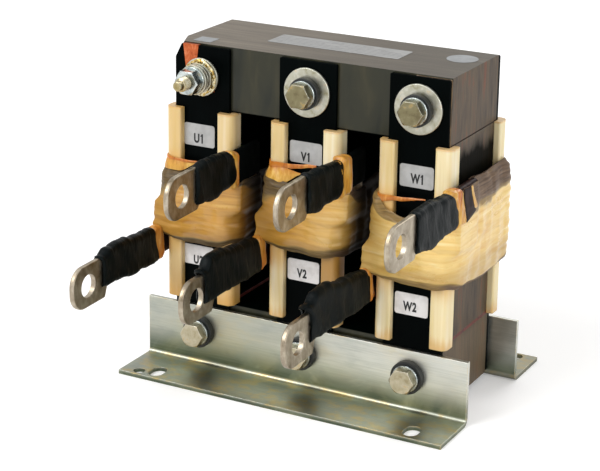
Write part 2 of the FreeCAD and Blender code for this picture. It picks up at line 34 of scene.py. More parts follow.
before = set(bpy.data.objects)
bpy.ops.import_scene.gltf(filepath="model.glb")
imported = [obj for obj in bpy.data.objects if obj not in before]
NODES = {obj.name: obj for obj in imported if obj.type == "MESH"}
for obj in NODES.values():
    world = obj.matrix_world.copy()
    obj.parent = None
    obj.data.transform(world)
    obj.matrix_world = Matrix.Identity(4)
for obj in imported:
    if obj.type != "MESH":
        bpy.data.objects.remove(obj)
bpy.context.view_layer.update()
MM = 0.001
PHASES = ("u", "v", "w")
PHASE_X = {"u": -67.0, "v": 0.0, "w": 67.0}
LEADS = [phase + end for phase in PHASES for end in "12"]
THREAD_PITCH = 1.25
SOILED_SHARE = 0.832

# Settings that nodes of a kind have here unless a call says otherwise
USUAL = {
    "Mix": {"data_type": "RGBA"}, "MapRange": {"interpolation_type": "SMOOTHSTEP"},
    "Math": {"operation": "MULTIPLY"},
}


# Colours and nodes

def linear(code):
    """Shader colour from a six-figure sRGB code."""
    channels = [int(code[place:place + 2], 16) / 255.0 for place in (0, 2, 4)]
    return (*(c / 12.92 if c <= 0.04045 else ((c + 0.055) / 1.055) ** 2.4 for c in channels), 1.0)


def add(tree, kind, *values, stops=None, **details):
    """One node: small words are its settings, plain values and capitalised words its inputs."""
    made = tree.nodes.new("ShaderNode" + kind)
    for name, value in {**USUAL.get(kind, {}), **details}.items():
        if name[0].islower():
            setattr(made, name, value)
    if stops:
        made.color_ramp.interpolation = "EASE"
        items = made.color_ramp.elements
        while len(items) < len(stops):
            items.new(0.5)
        for item, (place, colour) in zip(items, stops.items()):
            item.position = place
            item.color = linear(colour) if isinstance(colour, str) else colour
    pairs = list(zip([item for item in made.inputs if item.enabled], values))
    pairs += [(made.inputs[name.replace("_", " ")], details[name]) for name in details if name[0].isupper()]
    for target, value in pairs:
        if isinstance(value, bpy.types.Node):
            value = next(item for item in value.outputs if item.enabled)
        if isinstance(value, bpy.types.NodeSocket):
            tree.links.new(value, target)
        else:
            target.default_value = linear(value) if isinstance(value, str) else value
    return made


def grain(tree, vector, size, stretch=(1.0, 1.0, 1.0), detail=4.0, rough=0.55, distortion=0.0):
    """Noise whose features are about size millimetres, drawn out by stretch along each axis."""
    scale = tuple(1.0 / (size * MM * factor) for factor in stretch)
    placed = add(tree, "Mapping", Vector=vector, Scale=scale)
    return add(
        tree, "TexNoise", Vector=placed, Scale=1.0, Detail=detail, Roughness=rough, Distortion=distortion,
    )


def within(tree, strength, *limits):
    """Share of a surface: a strength times shares, each given or rising softly as (value, low, high)."""
    share = strength
    for limit in limits:
        if isinstance(limit, tuple):
            limit = add(tree, "MapRange", *limit)
        share = limit if share == 1.0 else add(tree, "Math", limit, share)
    return share


def tint(tree, tone, *layers):
    """Lays colours over a tone, each as (colour, strength, limits of the place it covers)."""
    for colour, strength, *limits in layers:
        tone = add(tree, "Mix", within(tree, strength, *limits), tone, colour)
    return tone


def bump(tree, height, distance_mm, strength=1.0, edge_mm=0.0, under=None):
    """Normal from a height pattern, over edges that are broken by edge_mm or over another bump."""
    inputs = {"Height": height, "Distance": distance_mm * MM, "Strength": strength}
    if edge_mm > 0.0:
        under = add(tree, "Bevel", Radius=edge_mm * MM, samples=4)
    if under is not None:
        inputs["Normal"] = under
    return add(tree, "Bump", **inputs)


def wear_and_highlight_edge(tree, radius_mm):
    """Share from 0 on flats to 1 on edges that are rounder than radius_mm allows."""
    edge = add(tree, "Bevel", Radius=radius_mm * MM, samples=6)
    flat = add(tree, "NewGeometry").outputs["Normal"]
    return within(tree, 1.0, (add(tree, "VectorMath", edge, flat, operation="DOT_PRODUCT"), 0.985, 0.9))


def seen_behind(tree):
    """Share of rays that show the background: the camera's, and those off metal and through glass."""
    path = add(tree, "LightPath").outputs
    seen = add(tree, "Math", path["Is Camera Ray"], path["Is Glossy Ray"], operation="ADD")
    return add(tree, "Math", seen, path["Is Transmission Ray"], operation="ADD", use_clamp=True)


def new_material(name):
    made = bpy.data.materials.new(name)
    made.use_nodes = True
    made.node_tree.nodes.clear()
    return made, made.node_tree, add(made.node_tree, "TexCoord").outputs["Object"]


def surface(made, **inputs):
    """Closes a material with its shader, whose inputs are set or linked by their names."""
    tree = made.node_tree
    add(tree, "OutputMaterial", Surface=add(tree, "BsdfPrincipled", **inputs))
    return made


# Materials, each named for what the real surface is and how it was made

def varnished_laminations():
    """Stacked sheets dipped in varnish: brown cut edges on top and ends, an olive coat on the faces, and painted
    shade, near black, in the windows between the limbs and beside and above the coils on the right.
    """
    made, tree, place = new_material("Varnish-dipped laminations")
    x, _, z = add(tree, "SeparateXYZ", place).outputs
    facing = add(tree, "SeparateXYZ", add(tree, "NewGeometry").outputs["Normal"]).outputs
    face, top = (
        within(tree, 1.0, (add(tree, "Math", facing[axis], operation="ABSOLUTE"), 0.6, 0.8)) for axis in "YZ"
    )
    # The sheets are about 0.5 mm thick, and are drawn at 0.9 mm so that they show
    sheets = grain(tree, place, 0.9, (40.0, 1.0, 40.0), 3.0, 0.6)
    broad = grain(tree, place, 6.0, (9.0, 1.0, 5.0), 5.0, 0.6, 0.4)
    blots = grain(tree, place, 26.0, (1.6, 0.8, 1.6), 5.0, 0.6)
    streaks = grain(tree, place, 3.0, (1.0, 1.0, 9.0), 4.0, 0.6)
    runs = grain(tree, place, 9.0, (1.0, 1.0, 6.0), 4.0, 0.5, 0.6)
    ends = add(tree, "ValToRGB", broad, stops={0.3: "2C2218", 0.44: "493B2C", 0.56: "574734", 0.68: "6A3E26"})
    ends = tint(tree, ends, ("2B2520", 0.5, (streaks, 0.5, 0.72)), ("74644E", 0.5, (z, 0.045, 0.036)))
    top_left = add(tree, "ValToRGB", broad, stops={0.3: "60574B", 0.5: "6D6457", 0.68: "776E60"})
    top_right = add(tree, "ValToRGB", broad, stops={0.3: "40392F", 0.5: "4A4337", 0.68: "544C3F"})
    tops = tint(tree, top_left, (top_right, 1.0, (x, -0.085, 0.075)))
    coat = add(tree, "ValToRGB", runs, stops={0.3: "1F2118", 0.5: "29291C", 0.7: "363322"})
    # Painted shade: near black inside the core's windows, and beside and above the coils on the right, where
    # shade falls; the sheen is taken off there too
    window_shade = (
        (add(tree, "Math", x, operation="ABSOLUTE"), 0.0845, 0.0842),
        (z, 0.0402, 0.0408), (z, 0.1568, 0.1562),
    )
    edge = add(tree, "Math", z, add(tree, "MapRange", blots, 0.3, 0.7, -0.004, 0.004), operation="ADD")
    shade_above_coils = within(tree, 0.94, (edge, 0.154, 0.143), (edge, 0.078, 0.1), (x, 0.0, 0.01))
    dark = add(tree, "Math", within(tree, 1.0, *window_shade), shade_above_coils, operation="MAXIMUM")
    tone = tint(
        tree, ends, (tops, 1.0, top), ("3C352D", 0.5, (sheets, 0.35, 0.7)),
        ("463B31", 0.45, (blots, 0.55, 0.75)), (coat, 1.0, face), ("010403", 1.0, dark),
    )
    rough = add(tree, "Mix", face, 0.52, 0.3, data_type="FLOAT")
    height = add(tree, "Mix", face, sheets, runs, data_type="FLOAT")
    sheen = add(tree, "MapRange", dark, 0.0, 1.0, 0.26, 0.0, interpolation_type="LINEAR")
    uneven = bump(tree, height, 0.12, 0.7, 0.3)
    return surface(made, Base_Color=tone, Roughness=rough, Normal=uneven, Specular_IOR_Level=sheen)


def black_laminate():
    """Resin-bonded black sheet with faint lines up its height and the odd varnish mark."""
    made, tree, place = new_material("Black resin-bonded sheet")
    # Pressing lines of a few tenths of a millimetre, drawn at 0.9 mm so that they show
    lines = grain(tree, place, 0.9, (1.0, 1.0, 60.0), 3.0)
    marks = grain(tree, place, 14.0, (1.0, 1.0, 3.4), 5.0, 0.62)
    tone = add(tree, "ValToRGB", marks, stops={0.35: "010303", 0.62: "020505", 0.82: "080C0A"})
    tone = tint(tree, tone, ("070B0B", 0.4, (lines, 0.62, 0.8)))
    rough = add(tree, "MapRange", marks, 0.3, 0.75, 0.34, 0.5)
    uneven = bump(tree, lines, 0.03, 0.5, 0.25)
    return surface(made, Base_Color=tone, Roughness=rough, Normal=uneven, Specular_IOR_Level=0.02)


def pultruded_resin():
    """Cream pultruded bar: fibre lines up its length, amber where varnish has run into it, and painted shade
    that darkens it toward the left and on each phase's left bars high up.
    """
    made, tree, place = new_material("Pultruded glass-resin bar")
    x, _, high = add(tree, "SeparateXYZ", place).outputs
    # Bundles of glass fibre about 0.3 mm wide, drawn at 0.7 mm so that they show
    fibres = grain(tree, place, 0.7, (1.0, 1.0, 60.0), 3.0, 0.6)
    bands = grain(tree, place, 3.2, (1.0, 1.0, 24.0), 2.0, 0.5)
    clouds = grain(tree, place, 16.0, (1.0, 1.0, 2.4), 4.0, 0.6)
    body = add(tree, "ValToRGB", bands, stops={0.3: "E0CE97", 0.48: "E9DBB0", 0.66: "EFE6CA"})
    shifted = add(tree, "Math", x, 0.1005, operation="ADD")
    across_phase = add(tree, "Math", shifted, 0.067, operation="MODULO")
    wrap_line, foot_line = (
        add(tree, "Math", high, add(tree, "MapRange", pattern, 0.3, 0.7, -by, by), operation="ADD")
        for pattern, by in ((clouds, 0.004), (bands, 0.002))
    )
    body = tint(
        tree, body,
        ("DDC48E", 0.16, (fibres, 0.7, 0.35)),
        # Painted shade: darker amber toward the left, and on each phase's left bars from about 0.1 m up
        ("D9B26A", 0.62, (x, 0.03, -0.09)),
        ("C6A156", 0.45, (across_phase, 0.03, 0.026), (high, 0.09, 0.12)),
        ("E4C484", 0.35, (clouds, 0.52, 0.74)),
        ("DDB46A", 0.12, (high, 0.12, 0.06)),
        ("D9A858", 0.7, (high, 0.134, 0.124), (high, 0.066, 0.08)),
        (
            "AC7E36", 0.9, (wrap_line, 0.062, 0.068), (x, 0.0095, 0.0105), (x, 0.024, 0.023),
            (high, 0.122, 0.118),
        ),
        ("CF9A48", 0.6, (foot_line, 0.05, 0.042)),
        ("CE9A44", 0.6, (high, 0.068, 0.044), (x, -0.04, -0.045)),
        ("D3A15A", 0.6, (high, 0.1537, 0.1553)),
    )
    return surface(
        made, Base_Color=body, Roughness=0.34, Normal=bump(tree, fibres, 0.04, 0.4, 0.8),
        Subsurface_Weight=0.14, Subsurface_Radius=(0.006, 0.004, 0.002), Subsurface_Scale=0.4,
    )


def varnished_tape():
    """Woven tape wound round the coil and dipped in amber varnish, greyed where it laps the edges, with painted
    shade: darker on the far left and low down, and near black on the U and V coils' right sides across the
    narrow gaps.
    """
    made, tree, place = new_material("Varnish-dipped coil tape")
    chart = add(tree, "TexCoord").outputs["UV"]
    x = add(tree, "SeparateXYZ", place).outputs["X"]
    round_by, up_by, _ = add(tree, "SeparateXYZ", chart).outputs
    laps = grain(tree, chart, 3.0, (9.0, 1.0, 1.0), 3.0, 0.5, 0.7)
    # The threads of the weave are about 0.4 mm apart, and are drawn at 1.1 mm so that they show
    fine = grain(tree, chart, 1.1, (12.0, 1.0, 1.0), 2.0, 0.5, 0.4)
    clouds = grain(tree, place, 17.0, (1.0, 1.0, 0.7), 4.0, 0.6, 0.5)
    streaks = grain(tree, chart, 6.0, (4.0, 1.0, 1.0), 3.0, 0.6, 0.8)
    pale = add(tree, "ValToRGB", laps, stops={0.26: "D7A94F", 0.44: "E0BB68", 0.6: "E8C77B", 0.78: "EED698"})
    deep = add(tree, "ValToRGB", laps, stops={0.26: "A06B20", 0.42: "B57E2A", 0.6: "C79039", 0.8: "D8AA50"})
    lip_deep = add(tree, "ValToRGB", fine, stops={0.3: "35291A", 0.55: "4E3F2A", 0.8: "71603E"})
    lip_side = add(tree, "ValToRGB", fine, stops={0.3: "483830", 0.55: "624F42", 0.8: "836C58"})
    lip_front = add(tree, "ValToRGB", fine, stops={0.3: "6E5A38", 0.55: "94794A", 0.8: "B4955C"})
    toward_u = (x, 0.042, -0.02)
    lip = tint(tree, lip_front, (lip_side, 1.0, (round_by, 0.142, 0.158)), (lip_deep, 0.88, toward_u))
    far_left = within(tree, 1.0, (round_by, 0.126, 0.1), (round_by, 0.02, 0.06))
    low_down = within(tree, 0.42, (up_by, -0.012, -0.021))
    shaded = add(tree, "Math", within(tree, 0.75, far_left), low_down, operation="MAXIMUM")
    # Painted shade: near black on the right sides of the U and V coils, which face the next coil across a narrow
    # gap; these places are made matt too
    painted_gap_shade = within(tree, 0.96, (round_by, 0.149, 0.175), (round_by, 0.244, 0.222), (x, 0.038, 0.036))
    lap_edge = add(tree, "Attribute", attribute_name="lap_edge").outputs["Fac"]
    broken = add(tree, "MapRange", streaks, 0.3, 0.7, -0.2, 0.2)
    shade = add(tree, "Math", lap_edge, broken, operation="ADD")
    tone = tint(
        tree, pale,
        (deep, 0.88, toward_u),
        ("D39A42", 0.5, (clouds, 0.5, 0.74)),
        ("C08A3E", 0.35, (streaks, 0.6, 0.8)),
        ("B9821E", 0.3, (x, -0.034, -0.028), (x, 0.036, 0.03)),
        ("8F6A2C", 1.0, shaded),
        ("8A6F38", 1.0, (shade, 0.12, 0.5)),
        (lip, 0.92, (shade, 0.45, 0.95)),
        ("130D07", 1.0, painted_gap_shade),
    )
    matt = add(tree, "Math", painted_gap_shade, within(tree, 0.7, lap_edge), operation="MAXIMUM")
    matt = add(tree, "Math", matt, within(tree, 0.92, far_left), operation="MAXIMUM")
    smoothness = add(tree, "MapRange", clouds, 0.3, 0.7, 0.26, 0.4)
    coat, sheen = (
        add(tree, "MapRange", matt, 0.0, 1.0, gloss, 0.0, interpolation_type="LINEAR")
        for gloss in (0.35, 0.5)
    )
    rough = add(tree, "Math", smoothness, within(tree, 0.35, matt), operation="ADD")
    uneven = bump(tree, laps, 0.35, 0.45, 0.0, bump(tree, fine, 0.1, 0.4))
    return surface(
        made, Base_Color=tone, Roughness=rough, Normal=uneven, Specular_IOR_Level=sheen,
        Coat_Weight=coat, Coat_Roughness=0.14,
        Subsurface_Weight=0.1, Subsurface_Radius=(0.005, 0.003, 0.0015), Subsurface_Scale=0.4,
    )


def amber_tape():
    """Single turns of the same tape, thinner, so brighter, and orange where it is pulled tight."""
    made, tree, place = new_material("Amber varnished tie tape")
    laps = grain(tree, place, 2.6, (1.0, 1.0, 5.0), 4.0, 0.6, 0.3)
    loose = add(tree, "ValToRGB", laps, stops={0.3: "B0772C", 0.5: "CF9A40", 0.72: "E6BC68"})
    pulled = add(tree, "ValToRGB", laps, stops={0.3: "9A5012", 0.5: "BC6A20", 0.72: "D28C3C"})
    tone = tint(tree, loose, (pulled, 1.0, add(tree, "Attribute", attribute_name="tight").outputs["Fac"]))
    return surface(
        made, Base_Color=tone, Roughness=0.3, Normal=bump(tree, laps, 0.2, 0.6), Specular_IOR_Level=0.35,
        Coat_Weight=0.1, Coat_Roughness=0.2,
        Subsurface_Weight=0.15, Subsurface_Radius=(0.005, 0.003, 0.001), Subsurface_Scale=0.4,
    )


def tinned_copper():
    """Tin-plated bar: satin champagne grey with drawn lines, small pits, and pale edges that are partly wear and
    partly painted highlight.
    """
    made, tree, place = new_material("Tin-plated copper bar")
    # Drawing lines of about 0.1 mm, drawn at 1.2 mm so that they show
    drawn = grain(tree, place, 1.2, (1.0, 1.0, 7.0), 4.0, 0.6)
    clouds = grain(tree, place, 6.0, (1.0, 1.0, 1.4), 5.0, 0.66)
    pits = grain(tree, place, 0.9, (1.0, 1.0, 1.0), 2.0, 0.5)
    tone = add(
        tree, "ValToRGB", clouds, stops={0.32: "80745F", 0.46: "9D9280", 0.58: "B3A996", 0.72: "C8BFAE"},
    )
    # Pale edges: partly wear, partly painted highlight along the rounded rims
    tone = tint(tree, tone, ("8C7E6E", 0.4, (drawn, 0.35, 0.7)), ("E4DED8", 1.0, wear_and_highlight_edge(tree, 0.7)))
    dents = bump(tree, within(tree, 1.0, (pits, 0.28, 0.42)), 0.05, 0.6, 0.0, bump(tree, drawn, 0.06, 0.7))
    rough = add(tree, "MapRange", clouds, 0.3, 0.7, 0.34, 0.46)
    return surface(made, Base_Color=tone, Metallic=1.0, Roughness=rough, Normal=dents)


def black_tape():
    """Black insulating tape stretched in turns: matt, with creases across its lay."""
    made, tree, place = new_material("Black insulating tape")
    creases = grain(tree, place, 3.2, (1.0, 0.7, 4.0), 4.0, 0.6, 0.5)
    # The stretched film's own lines, a few tenths of a millimetre, are drawn at 0.7 mm so that they show
    fine = grain(tree, place, 0.7, (1.0, 0.6, 5.0), 3.0)
    tone = add(tree, "ValToRGB", creases, stops={0.3: "000405", 0.55: "020809", 0.78: "0A1414"})
    folds = bump(tree, fine, 0.1, 0.5, 0.0, bump(tree, creases, 0.5, 0.7))
    return surface(made, Base_Color=tone, Roughness=0.46, Normal=folds, Specular_IOR_Level=0.1)


def plated_sheet():
    """Zinc-plated sheet, gold along the bend and darker on the rear foot. Painted light: the upright lighter
    toward the right, painted reflections in the green-grey foot, and pale edges that are partly wear and partly
    painted highlight.
    """
    made, tree, place = new_material("Zinc-plated sheet steel")
    x, y, high = add(tree, "SeparateXYZ", place).outputs
    # Rolling lines of about 0.1 mm, drawn at 0.8 mm so that they show
    rolled = grain(tree, place, 0.8, (30.0, 1.0, 1.0), 4.0, 0.6)
    clouds = grain(tree, place, 20.0, (1.8, 1.0, 0.8), 5.0, 0.62)
    spots = grain(tree, place, 6.0, (1.4, 1.0, 1.0), 4.0, 0.6)
    patches = grain(tree, place, 34.0, (1.3, 1.0, 1.0), 4.0, 0.6, 0.6)
    # Lit and shaded copies of the plating, painted light: the upright goes lighter toward the right
    bright = add(
        tree, "ValToRGB", clouds, stops={0.3: "C2C5BE", 0.5: "D2D3CB", 0.64: "D8D6CA", 0.8: "D8D0B0"},
    )
    dim = add(tree, "ValToRGB", clouds, stops={0.3: "A4A79E", 0.5: "B2B3A6", 0.64: "B9B5A0", 0.8: "BCAF85"})
    # The foot's dark and bright patches are painted reflections over the plating's own green-grey
    foot_tone_and_reflection = add(
        tree, "ValToRGB", patches, stops={0.34: "404A3B", 0.46: "515B49", 0.58: "6C735E", 0.7: "8E937C"},
    )
    upright = tint(tree, dim, (bright, 1.0, (x, -0.05, 0.075)))
    gold = within(tree, 0.6, (high, 0.001, 0.003), (high, 0.005, 0.0035))
    # Pale edges: partly wear, partly painted highlight
    edges = add(tree, "Math", gold, wear_and_highlight_edge(tree, 0.6), operation="MAXIMUM")
    tone = tint(
        tree, foot_tone_and_reflection,
        (upright, 1.0, (high, 0.0035, 0.024)),
        ("868A7E", 0.25, (rolled, 0.35, 0.7)),
        ("E6E7DC", 0.5, edges),
        ("C3A24C", 0.8, edges, (spots, 0.42, 0.66)),
        ("5E5540", 0.45, (y, 0.0, 0.02), (high, 0.006, 0.003)),
    )
    rough = add(tree, "MapRange", clouds, 0.3, 0.75, 0.32, 0.46)
    uneven = bump(tree, rolled, 0.03, 0.6, 0.35)
    return surface(made, Base_Color=tone, Metallic=1.0, Roughness=rough, Normal=uneven)


def plated_hardware(name, dark, middle, light, roughness, threaded=False):
    """Zinc-plated fastener with gold stains that gather on its underside, and pale edges that are partly wear
    and partly painted highlight.
    """
    made, tree, place = new_material(name)
    clouds = grain(tree, place, 5.0, (1.0, 1.0, 1.0), 4.0, 0.6)
    # The plating's grain, under 0.1 mm, is drawn at 0.6 mm so that it shows
    fine = grain(tree, place, 0.6, (1.0, 1.0, 1.0), 3.0)
    facing_up = add(tree, "SeparateXYZ", add(tree, "NewGeometry").outputs["Normal"]).outputs["Z"]
    under, spots = within(tree, 0.7, (facing_up, 0.2, -0.7)), within(tree, 0.5, (clouds, 0.56, 0.7))
    stains = add(tree, "Math", under, spots, operation="MAXIMUM")
    tone = add(tree, "ValToRGB", clouds, stops={0.32: dark, 0.5: middle, 0.7: light})
    # Pale edges: partly wear, partly painted highlight
    tone = tint(tree, tone, ("B08C3C", 1.0, stains), ("E6E4D8", 0.7, wear_and_highlight_edge(tree, 0.5)))
    rough = add(tree, "MapRange", fine, 0.3, 0.7, roughness, roughness + 0.14)
    height = bump(tree, fine, 0.03, 0.6, 0.35)
    if threaded:
        y = add(tree, "SeparateXYZ", place).outputs["Y"]
        half_turn = 0.5 * THREAD_PITCH * MM
        turns = add(tree, "Math", y, half_turn, operation="PINGPONG")
        groove = within(tree, 1.0, (turns, 0.0, half_turn), (y, 0.036, 0.037))
        height = bump(tree, groove, 0.4, 1.0, 0.0, height)
    return surface(made, Base_Color=tone, Metallic=1.0, Roughness=rough, Normal=height)


def ruled_film():
    """Silver plate film with broken grey rules and no words."""
    made, tree, place = new_material("Silver ruled plate film")
    soil = grain(tree, place, 9.0, (1.0, 1.0, 1.0), 4.0, 0.6)
    dashes = grain(tree, place, 1.5, (1.0, 0.2, 1.0), 1.0, 0.5)
    breaks = grain(tree, place, 9.0, (1.6, 0.4, 1.0), 1.0, 0.5)
    y = add(tree, "SeparateXYZ", place).outputs["Y"]
    rows = add(tree, "Math", y, 1.45 * MM, operation="PINGPONG")
    dashed = add(tree, "MapRange", dashes, 0.42, 0.5, 0.25, 1.0)
    paper = add(tree, "ValToRGB", soil, stops={0.3: "7F7F7D", 0.6: "8D8D8B"})
    tone = tint(tree, paper, ("4A4A4C", 0.6, (rows, 0.7 * MM, 0.5 * MM), dashed, (breaks, 0.44, 0.48)))
    return surface(made, Base_Color=tone, Roughness=0.45, Normal=bump(tree, soil, 0.04, 0.4))


# Finishes whose tone and unevenness follow one pattern: its size, stretch, detail, roughness and
# distortion; its tones; the bump's depth, strength and broken edge; then the shader's own values.
PLAIN_FINISHES = {
    # Pressed insulating sheets, seen mostly on their edges: dull and fibrous
    "Dark red gap board": (
        (2.0, (4.0, 1.0, 0.5)), {0.3: "3A0E0A", 0.7: "6A2016"}, (0.08, 0.6, 0.2),
        {"Roughness": 0.5, "Specular_IOR_Level": 0.4},
    ),
    "Brown joint paper": (
        (2.0, (4.0, 1.0, 0.5)), {0.3: "1C0F0A", 0.7: "3A2018"}, (0.08, 0.6, 0.2),
        {"Roughness": 0.5, "Specular_IOR_Level": 0.4},
    ),
    # Varnished cloth over the roots of the U1 and V1 leads, near black as painted shade in the gaps between the
    # coils: it hardly shines
    "Sooted varnished cloth": (
        (2.0, (4.0, 1.0, 0.5)), {0.3: "020404", 0.7: "040707"}, (0.08, 0.6, 0.2),
        {"Roughness": 0.9, "Specular_IOR_Level": 0.03},
    ),
    # Dark brown varnish pooled on the tape beside the joint of W1
    "Pooled brown varnish": (
        (4.0, (1.0, 1.0, 3.0)), {0.35: "1A0E0C", 0.7: "2E1A16"}, (0.2, 0.5),
        {"Roughness": 0.4, "Specular_IOR_Level": 0.06},
    ),
    # Ochre varnish left along the strip's edges, glossy where it has set thick
    "Ochre varnish bead": (
        (4.0, (1.0, 1.0, 2.0)), {0.3: "43331F", 0.6: "6E5637"}, (0.2, 0.6), {"Roughness": 0.25},
    ),
    # Moulded phenolic bush, black and half matt
    "Black moulded bush": (
        (0.8, (1.0, 1.0, 1.0), 3.0), {0.3: "070A0A", 0.7: "121616"}, (0.05, 0.5, 0.3), {"Roughness": 0.42},
    ),
    # Thin copper foil, creased by hand and browned in places
    "Hand-creased copper foil": (
        (2.4, (1.0, 1.0, 1.6), 4.0, 0.6, 0.6), {0.3: "8A3D20", 0.5: "B25A32", 0.72: "CC7B54"}, (0.3, 0.7),
        {"Roughness": 0.42, "Metallic": 0.85},
    ),
    # Crumpled tinned foil under the earthing washers, gold and brown where flux has dried on it
    "Flux-stained crumpled foil": (
        (2.2, (1.0, 1.0, 1.0), 4.0, 0.62, 0.6),
        {0.3: "7A5A20", 0.46: "B79A58", 0.6: "D8D0B0", 0.78: "B98A34"}, (0.2, 0.6),
        {"Roughness": 0.32, "Metallic": 1.0},
    ),
    # Adhesive films with a little soiling, and the ink on them
    "Silver label film": (
        (7.0, (1.0, 1.0, 1.0), 4.0, 0.6), {0.35: "A2A2A1", 0.6: "B0B0AF"}, (0.05, 0.4), {"Roughness": 0.5},
    ),
    "White label film": (
        (7.0, (1.0, 1.0, 1.0), 4.0, 0.6), {0.35: "D2CECC", 0.6: "E4E1E0"}, (0.05, 0.4), {"Roughness": 0.45},
    ),
    "Soiled sticker film": (
        (7.0, (1.0, 1.0, 1.0), 4.0, 0.6), {0.35: "7C7E7F", 0.6: "878A8C"}, (0.05, 0.4), {"Roughness": 0.5},
    ),
    "Black print": (
        (7.0, (1.0, 1.0, 1.0), 4.0, 0.6), {0.35: "050606", 0.6: "08090A"}, (0.05, 0.4), {"Roughness": 0.5},
    ),
}


def plain_finish(name, colour=None):
    """One of the plain finishes, in a colour of the user's own where one is given."""
    pattern, stops, unevenness, values = PLAIN_FINISHES[name]
    made, tree, place = new_material(name)
    spread = grain(tree, place, *pattern)
    if colour:
        soiled = [SOILED_SHARE * channel for channel in colour]
        stops = dict(zip(stops, ((*soiled, 1.0), (*colour, 1.0))))
    tone = add(tree, "ValToRGB", spread, stops=stops)
    return surface(made, Base_Color=tone, Normal=bump(tree, spread, *unevenness), **values)


def studio_board():
    """Seamless white board; what the camera sees is lifted a little, and the shadow stays."""
    made, tree, _ = new_material("White studio board")
    board = add(tree, "BsdfPrincipled", Base_Color="F4F4F4", Roughness=0.9, Specular_IOR_Level=0.1)
    lifted = add(tree, "AddShader", board, add(tree, "Emission", Color="FFFFFF", Strength=0.22))
    add(tree, "OutputMaterial", Surface=add(tree, "MixShader", seen_behind(tree), board, lifted))
    return made


MATERIALS = {}


def material(maker, *details):
    """The material that a maker gives for these details, made the first time it is asked for."""
    if (maker, details) not in MATERIALS:
        MATERIALS[maker, details] = maker(*details)
    return MATERIALS[maker, details]


def dress(node_names, made):
    """Gives CAD nodes a material, without touching their meshes."""
    for name in node_names:
        item = NODES[name]
        item.data.materials.clear()
        item.data.materials.append(made)


# Modelling helpers

def clear_selection():
    for item in list(bpy.context.selected_objects):
        item.select_set(False)


def take(item):
    clear_selection()
    item.select_set(True)
    bpy.context.view_layer.objects.active = item


def begin(primitive, **settings):
    """Adds a primitive with nothing else selected."""
    clear_selection()
    primitive(**settings)
    return bpy.context.object


def settle(item):
    """Puts an object's place into its mesh."""
    take(item)
    bpy.ops.object.transform_apply(location=True, rotation=True, scale=True)


def edit(item):
    take(item)
    bpy.ops.object.mode_set(mode="EDIT")
    bpy.ops.mesh.select_all(action="SELECT")


def leave():
    bpy.ops.object.mode_set(mode="OBJECT")


def choose(item, kind, test):
    """Selects the edges or faces of the mesh being edited that pass a test, of which there must be some."""
    bpy.ops.mesh.select_all(action="DESELECT")
    bpy.ops.mesh.select_mode(type=kind)
    bpy.ops.object.mode_set(mode="OBJECT")
    mesh = item.data
    count = 0
    for element in mesh.edges if kind == "EDGE" else mesh.polygons:
        element.select = bool(test(element, mesh))
        count += element.select
    bpy.ops.object.mode_set(mode="EDIT")
    if not count:
        raise RuntimeError(item.name + " has no part to select there")


def modify(item, kind, **settings):
    """Adds one modifier and applies it."""
    take(item)
    made = item.modifiers.new("shape", kind)
    for name, value in settings.items():
        setattr(made, name, value)
    bpy.ops.object.modifier_apply(modifier=made.name)


def finish_piece(item, name, made, smooth_angle):
    """Names a finished piece, smooths it, and hangs it on the one body with its material."""
    settle(item)
    item.name = name
    item.data.name = name
    bpy.ops.object.shade_smooth_by_angle(angle=math.radians(smooth_angle))
    item.data.materials.clear()
    item.data.materials.append(made)
    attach(item, "root")
    return item


def outline(centre, half_a, half_b, radius, axis, corner_steps, step_a=0.0, step_b=0.0):
    """Flat rounded rectangle: lying for axis Z, or standing across Y for axis Y."""
    turn = (0.0, 0.0, 0.0) if axis == "Z" else (math.radians(90.0), 0.0, 0.0)
    spot = [value * MM for value in centre]
    item = begin(bpy.ops.mesh.primitive_plane_add, size=2.0, location=spot, rotation=turn)
    item.scale = (half_a * MM, half_b * MM, 1.0)
    settle(item)
    edit(item)
    bpy.ops.mesh.bevel(
        offset_type="OFFSET", offset=radius * MM, segments=corner_steps, profile=0.5, affect="VERTICES",
    )
    for place, step in ((0, step_a), (2 if axis == "Y" else 1, step_b)):
        if step <= 0.0:
            continue
        half = half_a if place == 0 else half_b
        length = 2.0 * (half - radius) * MM

        def is_side(edge, mesh, place=place, length=length):
            first, second = (mesh.vertices[index].co for index in edge.vertices)
            return abs(abs(first[place] - second[place]) - length) < 1e-5

        choose(item, "EDGE", is_side)
        bpy.ops.mesh.subdivide(number_cuts=max(1, int(round(length / (step * MM))) - 1))
    bpy.ops.mesh.select_all(action="SELECT")
    return item


def pull(item, move, scale=(1.0, 1.0, 1.0), about=(0.0, 0.0, 0.0)):
    """Extrudes what is selected, then sizes the new end about a point in millimetres."""
    bpy.ops.mesh.extrude_region_move(TRANSFORM_OT_translate={"value": [value * MM for value in move]})
    if scale != (1.0, 1.0, 1.0):
        bpy.ops.transform.resize(value=scale, center_override=[value * MM for value in about])


def close_up(item):
    edit(item)
    bpy.ops.mesh.remove_doubles(threshold=1e-6)
    bpy.ops.mesh.normals_make_consistent(inside=False)
    leave()


# Sizes of the taped parts, in millimetres

